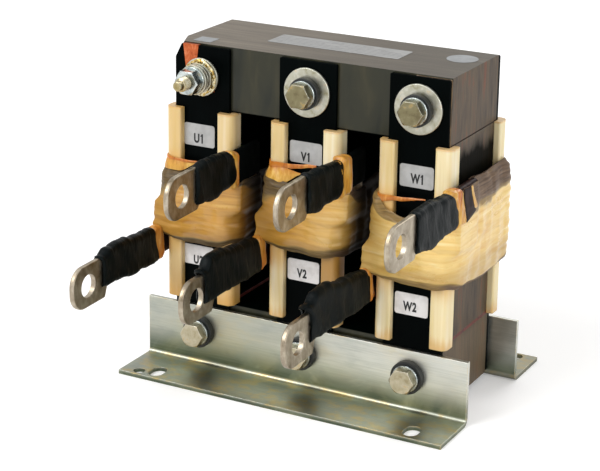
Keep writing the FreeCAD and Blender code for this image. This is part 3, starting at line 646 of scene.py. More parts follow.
COIL_HALF_X = 27.2
COIL_HALF_Y = 43.2
COIL_RADIUS = 12.0
COIL_CENTRE = {"u": 103.0, "v": 107.0, "w": 104.5}
COIL_BLANK = 60.0
COIL_ROWS = 66
TAPE_BAND = 2.8
SOLID_BUILD = 5.6
TERMINAL_HEIGHT = {"u1": 128.0, "v1": 134.0, "w1": 127.0, "u2": 71.5, "v2": 75.0, "w2": 68.0}
DROOP = math.tan(math.radians(1.0))
LOWER_NECK_RISE = 4.0
TONGUE_REACH = 24.5
LEAD_COVER = 29.0
LEAD_ASIDE = 26.3
SLEEVE_BLANK = 60.0
BINDING_BLANK = 20.0
BLANK_HALF = 10.0
PATCH_WALL = 0.3
STRIP_FACE = -34.0
CORE_TOP = 193.0
STUD_X = PHASE_X["u"]
STUD_Z = 174.5


# Soft tape work

def sense(value):
    return 1.0 if value > 0.0 else -1.0


def smooth(value, low, high):
    """Rises softly from 0 at low to 1 at high."""
    part = min(1.0, max(0.0, (value - low) / (high - low)))
    return part * part * (3.0 - 2.0 * part)


def along(knots, place):
    """Value at a place, read softly between the knots on either side."""
    for (start, first), (end, second) in zip(knots, knots[1:]):
        if place <= end:
            share = smooth(place, start, end)
            return first + (second - first) * share
    return knots[-1][1]


def lump(seed, *place):
    """Smooth unevenness from about -1 to 1 at up to three lengths already divided by their size."""
    values = list(place) + [0.0] * (3 - len(place))
    return 1.6 * noise.noise(Vector((values[0] + 7.3 * seed, values[1] - 3.1 * seed, values[2] + 1.7 * seed)))


def way_round(dx, dy):
    """Length from the middle of the rear, by the left side and the front, to a point of a coil's outline."""
    flat_x = COIL_HALF_X - COIL_RADIUS
    flat_y = COIL_HALF_Y - COIL_RADIUS
    corner = 0.5 * math.pi * COIL_RADIUS
    left = flat_x + corner
    front = left + 2.0 * flat_y + corner
    right = front + 2.0 * flat_x + corner
    rear = right + 2.0 * flat_y + corner
    beyond_x = abs(dx) - flat_x
    beyond_y = abs(dy) - flat_y
    turn = COIL_RADIUS * math.atan2(max(beyond_x, 0.0), max(beyond_y, 0.0))
    if beyond_x > 0.0 and beyond_y > 0.0:
        if dx < 0.0:
            return flat_x + turn if dy > 0.0 else front - turn
        return front + 2.0 * flat_x + turn if dy < 0.0 else rear - turn
    if beyond_x >= beyond_y:
        return left + flat_y - dy if dx < 0.0 else right + flat_y + dy
    if dy < 0.0:
        return front + flat_x + dx
    return -dx if dx <= 0.0 else rear + flat_x - dx


def soft_sheet(cells_u, cells_v, rule, wall, offset=0.0, tight=None):
    """Thin piece laid out by a rule that gives a place in millimetres for two shares from 0 to 1."""
    item = begin(bpy.ops.mesh.primitive_grid_add, x_subdivisions=cells_u, y_subdivisions=cells_v, size=1.0)
    shares = [(vertex.co.x + 0.5, vertex.co.y + 0.5) for vertex in item.data.vertices]
    if tight:
        layer = item.data.attributes.new("tight", "FLOAT", "POINT")
        for index, (u, v) in enumerate(shares):
            layer.data[index].value = tight(u, v)
    for vertex, (u, v) in zip(item.data.vertices, shares):
        vertex.co = Vector(rule(u, v)) * MM
    if wall > 0.0:
        modify(item, "SOLIDIFY", thickness=wall * MM, offset=offset)
    close_up(item)
    return item


COIL_ROUND = way_round(0.001, COIL_HALF_Y)
COIL_STATIONS = {name: way_round(*place) for name, place in {
    "rear": (0.0, COIL_HALF_Y), "rear_left": (-COIL_HALF_X, 40.0), "left_back": (-COIL_HALF_X, 15.0),
    "left_front": (-COIL_HALF_X, -25.0), "front_left": (-24.5, -40.5), "front_bar": (-13.0, -COIL_HALF_Y),
    "front": (-3.0, -COIL_HALF_Y), "front_right_bar": (14.0, -COIL_HALF_Y), "front_right": (24.5, -40.5),
    "right_front": (COIL_HALF_X, -25.0), "right": (COIL_HALF_X, 0.0), "right_back": (COIL_HALF_X, 24.0),
    "rear_right": (24.5, 40.5),
}.items()}
FRONT_PLACES = list(COIL_STATIONS)[4:]
# Heights of each coil's two edges above its middle and widths of their greyed laps, at FRONT_PLACES
COIL_TOP = {
    "u": (21.6, 17.4, 15.0, 13.5, 16.0, 14.5, 13.0, 16.0, 22.0),
    "v": (20.0, 16.4, 15.0, 14.5, 18.0, 14.0, 12.0, 16.0, 22.0),
    "w": (20.5, 12.8, 10.6, 13.5, 31.0, 30.6, 28.6, 29.2, 29.0),
}
COIL_BOTTOM = {
    "u": (-24.0, -25.4, -25.9, -25.4, -23.0, -25.0, -27.0, -27.0, -26.0),
    "v": (-21.8, -22.6, -23.6, -24.4, -23.2, -24.5, -26.0, -27.0, -26.0),
    "w": (-25.4, -26.2, -27.2, -27.9, -27.0, -29.2, -32.0, -31.6, -31.4),
}
UPPER_LAP = {
    "u": (22.0, 9.0, 4.0, 3.0, 3.0, 8.0, 9.0, 9.0, 8.0),
    "v": (17.0, 10.0, 6.0, 3.0, 3.0, 8.0, 10.0, 9.0, 8.0),
    "w": (7.0, 5.0, 2.6, 2.0, 2.0, 17.0, 17.0, 15.0, 14.0),
}
LOWER_LAP = {
    "u": (1.6, 2.6, 4.2, 4.6, 4.0, 5.0, 4.0, 4.0, 4.0),
    "v": (1.6, 3.0, 4.6, 5.6, 6.6, 8.0, 6.0, 5.0, 5.0),
    "w": (1.4, 2.4, 3.6, 4.8, 4.6, 3.0, 2.2, 3.6, 6.5),
}


def coil_edges(phase):
    """Knots round a coil, closed at the rear, for its two edges and the two laps beside them."""
    rows = (
        (COIL_TOP, {"rear": 26.0, "rear_left": 27.0, "left_back": 26.0, "left_front": 23.0}),
        (COIL_BOTTOM, {"rear": -26.0, "rear_left": -26.0, "left_back": -27.0, "left_front": -25.0}),
        (UPPER_LAP, {"rear": 5.0, "left_back": 8.0, "left_front": 26.0 if phase != "w" else 9.0}),
        (LOWER_LAP, {"rear": 4.0, "left_front": 2.4}),
    )
    edges = []
    for front, back in rows:
        values = {**dict(zip(FRONT_PLACES, front[phase])), **back}
        knots = sorted((COIL_STATIONS[name], value) for name, value in values.items())
        edges.append(knots + [(COIL_ROUND, knots[0][1])])
    return edges


def coil_tip(phase, dx, dy, height):
    """Rise of the tape where it stands off over the top of the lower lead, drawn out to a point."""
    tip = TERMINAL_HEIGHT[phase + "2"] + LOWER_NECK_RISE + 9.0 - COIL_CENTRE[phase]
    if dx > -15.0 or dy > -30.0:
        return 0.0
    aside = (way_round(dx, dy) - COIL_STATIONS["front_left"] + 1.5) / 6.5
    up = (height - tip) / (5.0 if height > tip else 4.0)
    near = max(0.0, 1.0 - math.hypot(aside, up))
    return 5.0 * near ** 1.4


def lead_cover(phase, dx, dy, height):
    """Share from 0 to 1 by which the tape has to stand clear of a lead that runs under it."""
    run = smooth(dy, -43.0, -40.0) * (1.0 - smooth(dy, -18.0, -11.0))
    if dx > 15.0:
        low = TERMINAL_HEIGHT[phase + "1"] - TONGUE_REACH - COIL_CENTRE[phase]
        return run * smooth(height, low - 8.0, low - 1.0)
    if dx < -15.0:
        high = TERMINAL_HEIGHT[phase + "2"] + TONGUE_REACH - COIL_CENTRE[phase]
        return run * (1.0 - smooth(height, high + 1.0, high + 8.0))
    return 0.0


def coil_place(phase, settings, dx, dy, height, high, low):
    """Place on the finished tape above a place of the plain coil outline, from the phase's middle."""
    seed = PHASES.index(phase) + 1
    angle = 2.0 * math.pi * way_round(dx, dy) / COIL_ROUND
    outward = Vector((
        math.copysign(max(abs(dx) - (COIL_HALF_X - COIL_RADIUS), 0.0), dx),
        math.copysign(max(abs(dy) - (COIL_HALF_Y - COIL_RADIUS), 0.0), dy), 0.0,
    )).normalized()
    ring_x = 14.0 * math.cos(angle)
    ring_y = 14.0 * math.sin(angle)
    belly = -1.3 * ((height - 0.5 * (high + low)) / (0.5 * (high - low))) ** 2
    shoulder = 1.0 if phase == "u" and dx < -6.0 else 0.0
    curl = -(2.6 + 2.0 * shoulder) * (1.0 - smooth(high - height, -1.0 * shoulder, 3.6 + 5.0 * shoulder))
    curl -= 2.2 * (1.0 - smooth(height - low, 0.0, 3.0))
    slant = height + 1.8 * lump(seed + 3, ring_x / 9.0, ring_y / 9.0)
    ridges = 0.55 * lump(seed + 5, slant / 3.2, ring_x / 13.0, ring_y / 13.0)
    ridges += 0.2 * lump(seed + 8, slant / 1.9, ring_x / 10.0, ring_y / 10.0)
    ridges *= settings.tape_wrinkle / MM
    soft = 0.5 * lump(seed + 11, ring_x / 3.0, ring_y / 3.0, height / 14.0)
    folds = 0.14 * lump(seed + 13, ring_x / 1.1, ring_y / 1.1, height / 24.0)
    build = settings.tape_build / MM - SOLID_BUILD
    if dy < 0.0:
        build += 1.3 * max(0.0, 1.0 - (dx / 26.0) ** 2) * smooth(-dy, 20.0, 34.0)
    out_by = build + belly + curl + ridges + soft + folds
    place = Vector((dx, dy, height)) + outward * (out_by + coil_tip(phase, dx, dy, height))
    cover = lead_cover(phase, dx, dy, height)
    clear = LEAD_COVER + 0.5 * ridges + 0.3 * soft
    if cover > 0.0 and abs(place.x) < clear:
        place.x += math.copysign((clear - abs(place.x)) * cover, dx)
    return place


def make_coil(phase, settings):
    """Band of tape laid round a coil: closed loop, pulled up, hollowed and worked."""
    seed = PHASES.index(phase) + 1
    centre_x = PHASE_X[phase]
    middle = COIL_CENTRE[phase]
    top, bottom, upper_lap, lower_lap = coil_edges(phase)
    item = outline((centre_x, 0.0, 0.0), COIL_HALF_X, COIL_HALF_Y, COIL_RADIUS, "Z", 16, 1.1, 1.1)
    pull(item, (0.0, 0.0, COIL_BLANK))

    def is_upright(edge, mesh):
        first, second = (mesh.vertices[index].co for index in edge.vertices)
        return abs(first.z - second.z) > 0.05

    choose(item, "EDGE", is_upright)
    bpy.ops.mesh.subdivide(number_cuts=COIL_ROWS - 1)
    choose(item, "FACE", lambda face, mesh: abs(face.normal.z) > 0.9)
    bpy.ops.mesh.delete(type="ONLY_FACE")
    bpy.ops.mesh.select_all(action="SELECT")
    bpy.ops.mesh.remove_doubles(threshold=1e-6)
    bpy.ops.mesh.normals_make_consistent(inside=False)
    leave()
    mesh = item.data
    while mesh.uv_layers:
        mesh.uv_layers.remove(mesh.uv_layers[0])
    chart = mesh.uv_layers.new(name="tape")
    lap = mesh.attributes.new("lap_edge", "FLOAT", "POINT")
    places = []
    for vertex in mesh.vertices:
        dx = vertex.co.x / MM - centre_x
        dy = vertex.co.y / MM
        share = vertex.co.z / MM / COIL_BLANK
        place = way_round(dx, dy)
        angle = 2.0 * math.pi * place / COIL_ROUND
        wander = 0.7 * lump(seed, 3.0 * math.cos(angle), 3.0 * math.sin(angle))
        high = along(top, place) + wander
        low = along(bottom, place) + 0.3 * lump(seed + 2, 3.4 * math.cos(angle), 3.4 * math.sin(angle))
        height = low + (high - low) * share
        spot = coil_place(phase, settings, dx, dy, height, high, low)
        vertex.co = Vector((centre_x + spot.x, spot.y, middle + spot.z)) * MM
        places.append((place, height))
        above = along(upper_lap, place)
        below = along(lower_lap, place)
        upper = 1.0 - smooth(high - height, 0.6 * above, 1.15 * above)
        lower = 1.0 - smooth(height - low, 0.6 * below, 1.15 * below)
        lap.data[vertex.index].value = max(upper, lower)
    for face in mesh.polygons:
        start = places[mesh.loops[face.loop_indices[0]].vertex_index][0]
        for index in face.loop_indices:
            place, height = places[mesh.loops[index].vertex_index]
            if abs(place - start) > 0.5 * COIL_ROUND:
                place -= math.copysign(COIL_ROUND, place - start)
            chart.data[index].uv = (place * MM, height * MM)
    modify(item, "SOLIDIFY", thickness=TAPE_BAND * MM, offset=-1.0)
    return item


def make_coil_patch(phase, settings, corners, lift):
    """Sheet laid on a coil's tape inside four corners (Y, height), given from the lower front round."""
    middle = COIL_CENTRE[phase]
    top, bottom = coil_edges(phase)[:2]

    def rule(u, v):
        low_y = corners[0][0] + (corners[1][0] - corners[0][0]) * u
        high_y = corners[3][0] + (corners[2][0] - corners[3][0]) * u
        low_z = corners[0][1] + (corners[1][1] - corners[0][1]) * u
        high_z = corners[3][1] + (corners[2][1] - corners[3][1]) * u
        y = low_y + (high_y - low_y) * v + 0.35 * lump(71, v * 3.0, u * 2.0)
        height = low_z + (high_z - low_z) * v - middle
        place = way_round(COIL_HALF_X, y)
        high = along(top, place)
        held = min(height, high - 1.0)
        spot = coil_place(phase, settings, COIL_HALF_X, y, held, high, along(bottom, place))
        edge = min(u, 1.0 - u, v, 1.0 - v)
        return (PHASE_X[phase] + spot.x + lift * smooth(edge, -0.1, 0.12), spot.y, middle + height)

    return soft_sheet(16, 24, rule, PATCH_WALL, 1.0)


def lead_axis(name):
    """Middle of a lead: its X, and its height where it passes a given Y."""
    away = 1.0 if name[1] == "1" else -1.0
    centre = PHASE_X[name[0]] + away * LEAD_ASIDE
    return centre, lambda y: TERMINAL_HEIGHT[name] + (y + 34.0) * DROOP


# Black sleeves: (Y, height of the middle from the lead, half height) along each; then where each ends
# and where its amber binding ends, as (height from the lead, Y).

SLEEVE_RUN = {
    "u1": (
        (-87.7, 1.9, 10.4), (-78.0, 1.5, 11.6), (-67.0, 0.7, 12.4), (-60.0, 1.2, 11.2), (-45.0, 0.8, 10.6),
    ),
    "v1": (
        (-86.0, 1.5, 10.6), (-74.0, 0.0, 11.7), (-64.0, 0.4, 10.6), (-52.0, -0.5, 10.6), (-44.0, -0.6, 10.8),
    ),
    "w1": (
        (-95.0, 1.8, 10.8), (-88.0, 1.0, 11.7), (-76.0, 0.0, 12.7), (-66.0, -0.2, 11.0), (-46.0, -0.4, 10.9),
    ),
    "u2": (
        (-100.6, 3.7, 9.5), (-95.0, 5.0, 11.0), (-83.0, 4.7, 11.7), (-66.0, 2.9, 11.2), (-44.0, 2.4, 10.9),
    ),
    "v2": (
        (-102.6, 5.0, 10.2), (-97.0, 7.8, 13.0), (-88.0, 8.2, 13.3), (-70.0, 6.0, 12.0), (-42.0, 4.0, 10.6),
    ),
    "w2": (
        (-107.6, 6.0, 11.2), (-101.0, 8.4, 13.5), (-90.0, 8.4, 13.5), (-74.0, 6.2, 12.2), (-40.0, 4.0, 10.6),
    ),
}
SLEEVE_END = {
    "u1": ((-11.0, -49.9), (-3.0, -45.9), (6.0, -48.0), (12.0, -52.7)),
    "v1": ((-11.0, -49.7), (-4.0, -46.8), (3.0, -46.3), (11.0, -47.5)),
    "w1": ((-12.0, -47.9), (-9.0, -43.8), (-4.0, -44.4), (4.0, -48.2), (12.0, -54.2)),
    "u2": ((-8.0, -43.5), (7.0, -47.3), (13.0, -47.8)),
    "v2": ((-6.0, -42.0), (0.0, -42.2), (7.0, -44.0), (14.0, -46.0)),
    "w2": ((-6.0, -39.5), (9.0, -40.6), (12.6, -43.4)),
}
BINDING_END = {
    "u1": ((-12.0, -42.0), (-5.0, -43.9), (12.0, -43.4)),
    "v1": ((-12.0, -35.6), (10.0, -36.6)),
    "w1": ((-13.0, -34.0), (10.0, -40.2)),
    "u2": ((-8.0, -36.9), (5.0, -38.1)),
    "v2": ((-8.4, -39.2), (-4.0, -35.6), (6.7, -36.8)),
    "w2": ((-8.0, -39.6), (-6.0, -33.1), (9.0, -36.0)),
}
SLEEVE_LIP = {"v2": 5.0, "w2": 7.0, "u2": 2.0}


def tube(centre, start, end, half_x, half_z, radius, steps, mouth=0.0):
    """Flat rounded tube along Y, pulled out in short steps, with its front end hollowed if asked."""
    item = outline((centre, start, 0.0), half_x, half_z, radius, "Y", 4, 1.2, 0.9)
    for _ in range(steps):
        pull(item, (0.0, (end - start) / steps, 0.0))
    bpy.ops.mesh.select_all(action="SELECT")
    bpy.ops.mesh.normals_make_consistent(inside=False)
    if mouth > 0.0:
        choose(item, "FACE", lambda face, mesh: abs(face.center.y / MM - start) < 1e-3)
        bpy.ops.mesh.inset(thickness=0.9 * MM)
        bpy.ops.mesh.extrude_region_move(TRANSFORM_OT_translate={"value": (0.0, mouth * MM, 0.0)})
    leave()
    return item


def make_sleeve(name, settings):
    """Black tape over a lead: a rounded flat tube pulled out in short steps and creased."""
    seed = 20 + 3 * PHASES.index(name[0]) + int(name[1])
    centre, height_at = lead_axis(name)
    run = SLEEVE_RUN[name]
    middles = [(y, offset) for y, offset, _ in run]
    halves = [(y, half) for y, _, half in run]
    start = run[0][0]
    item = tube(centre, 0.0, SLEEVE_BLANK, 3.4, BLANK_HALF, 2.9, 64, 2.4)
    crease = settings.sleeve_wrinkle / MM
    lip = SLEEVE_LIP.get(name, 0.0)
    for vertex in item.data.vertices:
        dx = vertex.co.x / MM - centre
        share = vertex.co.y / MM / SLEEVE_BLANK
        level = vertex.co.z / MM / BLANK_HALF
        end = along(SLEEVE_END[name], run[-1][1] + run[-1][2] * level)
        y = start + (end - start) * share
        y -= lip * max(0.0, level - 0.25) ** 2 / 0.56 * (1.0 - smooth(share, 0.0, 0.3))
        dz = along(middles, y) + along(halves, y) * level
        length = end - start
        rim = smooth(abs(level), 0.6, 0.95) * sense(level)
        turn = (y + 0.3 * dz * sense(dx) + 2.4 * lump(seed + 21, y / 14.0)) / 9.5 + 0.37 * seed
        step = (turn - math.floor(turn)) * 0.32
        broad, close = (2, 9) if level > 0 else (5, 4)
        bumps = 0.9 * lump(seed + broad, y / 7.5) + 0.25 * lump(seed + close, y / 2.8)
        flat = 0.42 * lump(seed + 12, dx / 9.0, (y + 0.5 * dz) / 7.5, dz / 11.0)
        flat += 0.1 * lump(seed + 15, dx / 4.0, (y + 0.4 * dz) / 2.6, dz / 9.0)
        side = sense(dx) * smooth(abs(dx), 0.8, 2.6)
        near_end = smooth(share * length, 0.0, 1.2) * smooth((1.0 - share) * length, -0.6, 0.9)
        new_x = centre + dx + side * (step + flat) * near_end - 0.35 * side * (1.0 - near_end)
        new_z = dz + rim * (crease * bumps + step * 0.7) * near_end - 0.5 * rim * (1.0 - near_end)
        vertex.co = Vector((new_x, y + 0.25 * lump(seed + 18, dz / 3.0, dx / 2.0), height_at(y) + new_z)) * MM
    return item


def mark_tight(item, test):
    """Marks how tightly each place of an amber piece is pulled, which turns it orange."""
    layer = item.data.attributes.new("tight", "FLOAT", "POINT")
    for vertex in item.data.vertices:
        place = vertex.co / MM
        layer.data[vertex.index].value = min(1.0, max(0.0, test(place.x, place.y, place.z)))


def make_lead_tape(name):
    """Amber tape bound round the inner end of a lead, standing out behind the end of the sleeve."""
    seed = 40 + 3 * PHASES.index(name[0]) + int(name[1])
    centre, height_at = lead_axis(name)
    upper = name[1] == "1"
    last_middle, last_half = SLEEVE_RUN[name][-1][1:]
    item = tube(centre, 0.0, BINDING_BLANK, 3.0, BLANK_HALF, 2.4, 26)
    for vertex in item.data.vertices:
        dx = vertex.co.x / MM - centre
        share = vertex.co.y / MM / BINDING_BLANK
        level = vertex.co.z / MM / BLANK_HALF
        rough_dz = last_middle + last_half * level
        sleeve_end = along(SLEEVE_END[name], rough_dz)
        start = sleeve_end - 4.0
        end = along(BINDING_END[name], rough_dz)
        y = start + (end - start) * share
        out_of = smooth(y - sleeve_end, -0.8, 1.2)
        tucked = smooth(share, 0.86, 1.0)
        if upper:
            top = 12.4 - 2.2 * share
            low = -11.6
        else:
            top = last_middle + last_half - 0.2
            low = last_middle - last_half + 0.6
        middle = 0.5 * (top + low)
        half = 0.5 * (top - low) * (0.8 + 0.2 * out_of) - 1.6 * tucked
        if not upper:
            half -= 2.0 * smooth(-level, 0.2, 1.0) * smooth(share, 0.5, 1.0)
        dz = middle + half * level
        side = sense(dx) * smooth(abs(dx), 0.6, 2.2)
        rim = smooth(abs(level), 0.6, 0.95) * sense(level)
        folds = 0.45 * lump(seed, dx / 5.0, y / 2.2, dz / 14.0)
        folds += 0.2 * lump(seed + 6, dx / 5.0, y, dz / 8.0)
        swell = (0.9 if upper else 0.4) * out_of - 1.0 * tucked
        new_x = centre + dx + side * (folds * out_of + swell)
        new_z = dz + rim * 0.5 * lump(seed + 4, y / 3.0) * out_of
        vertex.co = Vector((new_x, y, height_at(y) + new_z)) * MM
    inner_end = along(BINDING_END[name], 0.0)

    def pulled(x, y, z):
        if name == "w1":
            return smooth(y, -49.5, -46.0) * (1.0 - smooth(y, -44.0, -41.0)) * smooth(z, 122.0, 134.0)
        if upper:
            return 0.9 * smooth(y, inner_end - 3.4, inner_end - 1.0) + 0.3 * smooth(z, 136.0, 142.0)
        return 0.85 - 0.4 * smooth(z - TERMINAL_HEIGHT[name], -4.0, 6.0)

    mark_tight(item, pulled)
    return item


def make_joint_tape(name):
    """Varnished tape over the root of a lead, between its amber binding and the core: brown, but near black as
    painted shade at U1 and V1.
    """
    seed = 60 + 3 * PHASES.index(name[0]) + int(name[1])
    centre, height_at = lead_axis(name)
    upper = name[1] == "1"
    start, end = (-43.0, -18.4) if upper else (-39.0, -18.6)
    low, high = (-10.4, 9.4) if upper else (-5.4, 13.6)
    middle = 0.5 * (low + high)
    item = tube(centre, start, end, 2.3, 0.5 * (high - low), 1.8, 12)
    for vertex in item.data.vertices:
        place = vertex.co / MM
        dx = place.x - centre
        folds = 0.22 * lump(seed, dx / 4.0, place.y / 3.0, place.z / 6.0)
        side = sense(dx) * smooth(abs(dx), 0.6, 1.8)
        new_z = height_at(place.y) + middle + place.z + folds
        vertex.co = Vector((place.x + side * folds, place.y, new_z)) * MM
    return item


def bar_path(phase, reach, stand):
    """Rule for a place on a line round the front left bar: its outer side, its corner and its front."""
    centre = PHASE_X[phase]
    side = centre - 22.0 - stand
    front = -38.0 - stand
    corner = 4.0 + stand
    arc = 0.5 * math.pi * corner
    lengths = (10.0, arc, 7.0, reach)
    total = sum(lengths)

    def place(u):
        run = u * total
        if run < lengths[0]:
            return side, front + corner + lengths[0] - run
        run -= lengths[0]
        if run < arc:
            turn = run / corner
            return side + corner * (1.0 - math.cos(turn)), front + corner - corner * math.sin(turn)
        run -= arc
        return side + corner + run, front

    return place, (lengths[0] + arc + lengths[2]) / total


def make_tie(phase):
    """Narrow tape tie drawn tight over the front left bar and off behind the upper lead."""
    seed = 80 + PHASES.index(phase)
    centre = PHASE_X[phase]
    knots, reach = {
        "u": (((-21.6, 124.4, 126.6), (-10.0, 124.0, 125.6), (-1.0, 124.8, 125.2)), 10.0),
        "v": (((-20.6, 129.6, 133.4), (-8.7, 131.0, 133.5), (8.0, 133.4, 135.0)), 19.0),
        "w": (((-21.7, 121.0, 125.4), (-9.0, 123.3, 125.6), (7.0, 125.8, 126.2)), 18.0),
    }[phase]
    lows = [(x, low) for x, low, _ in knots]
    highs = [(x, high) for x, _, high in knots]
    place, bar_end = bar_path(phase, reach, 0.45)

    def rule(u, v):
        x, y = place(u)
        low = along(lows, x - centre)
        high = along(highs, x - centre)
        bulge = 0.3 * math.sin(math.pi * v) + 0.15 * lump(seed, x / 4.0, v * 2.0)
        slack = 0.9 * smooth(u, bar_end, 1.0)
        return (x, y - bulge + slack, low + (high - low) * v + 0.2 * lump(seed + 3, x / 5.0))

    return soft_sheet(56, 5, rule, 0.5, 0.0, lambda u, v: 0.7 + 0.3 * u)


def make_collar(phase):
    """Loose amber tape over the front left bar between the coil's edge and the tie, folded as it lies."""
    seed = 90 + PHASES.index(phase)
    centre = PHASE_X[phase]
    low_by, high_by, reach, point, flare = {
        "u": (119.0, 125.4, 10.0, 124.4, 1.8),
        "v": (122.5, 131.0, 9.5, 128.2, 2.6),
    }[phase]
    place, bar_end = bar_path(phase, reach, 0.3)

    def rule(u, v):
        x, y = place(u)
        close = smooth(u, bar_end - 0.06, 1.0)
        low = low_by + (point - 0.4 - low_by) * close ** 1.3
        high = high_by + (point + 0.4 - high_by) * close
        height = low + (high - low) * v
        loose = flare * (1.0 - v ** 1.5) * (1.0 - close)
        folds = 0.25 * lump(seed, (x + 0.8 * height) / 4.0, v * 1.2) * (1.0 - close)
        corner = smooth(u, 0.3, 0.62)
        turned = math.radians(90.0 * corner)
        out_by = loose + folds
        back = -3.0 * (1.0 - v) * smooth(0.3 - u, 0.0, 0.3)
        return (x - out_by * math.cos(turned) - back, y - out_by * math.sin(turned) + 1.4 * close, height)

    return soft_sheet(60, 18, rule, 0.4, 0.0, lambda u, v: 0.7 * v ** 3)


# Labels, plates and small parts: places in millimetres

LABELS = {
    "u1": (-78.9, 133.4, 13.0), "v1": (-10.5, 133.7, 12.4), "w1": (56.8, 130.6, 12.6),
    "u2": (-79.4, 61.6, 12.0), "v2": (-10.9, 64.3, 12.7), "w2": (56.1, 57.2, 12.7),
}
MARKS = {
    "u1": (-69.5, 137.9, 5.9, 5.6), "v1": (-0.9, 137.5, 5.6, 5.4), "w1": (66.9, 135.6, 7.5, 5.6),
    "u2": (-69.6, 64.8, 6.3, 5.4), "v2": (-1.9, 69.0, 6.3, 5.4), "w2": (65.2, 62.3, 8.2, 5.6),
}


def make_label(name, settings):
    """Round-cornered film stuck on the strip beside a terminal."""
    left, low, height = LABELS[name]
    width = settings.label_width / MM
    tall = height * settings.label_height / MM / 12.5
    centre = (left + 0.5 * width, STRIP_FACE - 0.16, low + 0.5 * height)
    item = outline(centre, 0.5 * width, 0.5 * tall, 1.5, "Y", 6)
    pull(item, (0.0, 0.15, 0.0))
    leave()
    close_up(item)
    return item


def make_mark(name):
    """Terminal mark printed on its label: plain narrow letters, turned into a mesh."""
    x, z, width, height = MARKS[name]
    item = begin(bpy.ops.object.text_add, location=(0.0, 0.0, 0.0))
    item.data.body = name.upper()
    item.data.size = 0.006
    item.data.offset = 0.00027
    item.data.space_character = 1.14
    item.data.extrude = 0.00002
    item.data.resolution_u = 8
    take(item)
    bpy.ops.object.convert(target="MESH")
    item = bpy.context.object
    xs = [vertex.co.x for vertex in item.data.vertices]
    ys = [vertex.co.y for vertex in item.data.vertices]
    right, top = max(xs), max(ys)
    if name[1] == "1":
        bpy.ops.mesh.primitive_cube_add(
            size=1.0, location=(right - 0.00125, top - 0.00085, 0.0), rotation=(0.0, 0.0, math.radians(36.0)),
            scale=(0.0014, 0.0006, 0.00004),
        )
        flag = bpy.context.object
        settle(flag)
        item.select_set(True)
        bpy.context.view_layer.objects.active = item
        bpy.ops.object.join()
    item.scale = (width * MM / (max(xs) - min(xs)), height * MM / (max(ys) - min(ys)), 1.0)
    middle_x, middle_y = -0.5 * (max(xs) + min(xs)), -0.5 * (max(ys) + min(ys))
    item.location = (middle_x * item.scale.x, middle_y * item.scale.y, 0.0)
    settle(item)
    item.rotation_euler = (math.radians(90.0), 0.0, 0.0)
    item.location = (x * MM, (STRIP_FACE - 0.18) * MM, z * MM)
    settle(item)
    close_up(item)
    return item


def make_plate(x, y, half_a, half_b, radius):
    """Thin film lying on the top of the core."""
    item = outline((x, y, CORE_TOP + 0.02), half_a, half_b, radius, "Z", 6)
    pull(item, (0.0, 0.0, 0.16))
    leave()
    close_up(item)
    return item


def make_round_sticker():
    spot = (71.7 * MM, 10.6 * MM, (CORE_TOP + 0.1) * MM)
    return begin(
        bpy.ops.mesh.primitive_cylinder_add, vertices=64, radius=8.75 * MM, depth=0.16 * MM, location=spot,
    )


def make_stud():
    """Earthing stud: dog point, threaded ends and a plain shank, pulled out of a disc step by step."""
    radius = 2.3
    about = [STUD_X, -61.2, STUD_Z]
    item = begin(
        bpy.ops.mesh.primitive_circle_add, vertices=40, radius=radius * MM, fill_type="NGON",
        rotation=(math.radians(90.0), 0.0, 0.0), location=[value * MM for value in about],
    )
    settle(item)
    edit(item)

    def grow(length, new_radius):
        nonlocal radius
        about[1] += length
        factor = new_radius / radius
        pull(item, (0.0, length, 0.0), (factor, 1.0, factor), about)
        radius = new_radius

    grow(0.35, 2.75)
    grow(3.2, 2.75)
    grow(0.3, 3.35)
    for _ in range(6):
        grow(0.42, 4.0)
        grow(0.42, 3.4)
    grow(0.5, 3.9)
    grow(38.3 + 53.4, 3.9)
    for _ in range(4):
        grow(0.42, 4.0)
        grow(0.42, 3.4)
    grow(0.35, 3.0)
    close_up(item)
    return item


def make_stack_washers():
    """Loose thin washers behind the front earthing nut, none quite square to the stud."""
    discs = ((-38.9, 8.7, 0.9, 1.5), (-41.2, 8.3, 0.8, -2.5), (-43.6, 8.5, 0.9, 2.0))
    parts = []
    for y, radius, depth, tilt in discs:
        item = begin(
            bpy.ops.mesh.primitive_cylinder_add, vertices=56, radius=radius * MM, depth=depth * MM,
            location=(STUD_X * MM, y * MM, STUD_Z * MM),
            rotation=(math.radians(90.0 + tilt), math.radians(0.6 * tilt), 0.0),
        )
        settle(item)
        modify(item, "BEVEL", width=0.22 * MM, segments=2, limit_method="ANGLE")
        parts.append(item)
    clear_selection()
    for item in parts:
        item.select_set(True)
    bpy.context.view_layer.objects.active = parts[0]
    bpy.ops.object.join()
    return parts[0]


def make_stack_foil():
    """Crumpled foil on the wide earthing washer."""
    def rule(u, v):
        turn = 2.0 * math.pi * u
        edge = 10.0 + 0.9 * lump(101, 2.0 * math.cos(turn), 2.0 * math.sin(turn))
        radius = 5.0 + (edge - 5.0) * v
        x = radius * math.cos(turn)
        z = radius * math.sin(turn)
        rise = 0.9 * abs(lump(103, x / 2.4, z / 2.4)) + 0.5 * abs(lump(105, x / 1.1, z / 1.1))
        return (STUD_X + x, -36.35 - rise * (1.0 - smooth(v, 0.8, 1.0)), STUD_Z + z)

    return soft_sheet(96, 14, rule, 0.12)


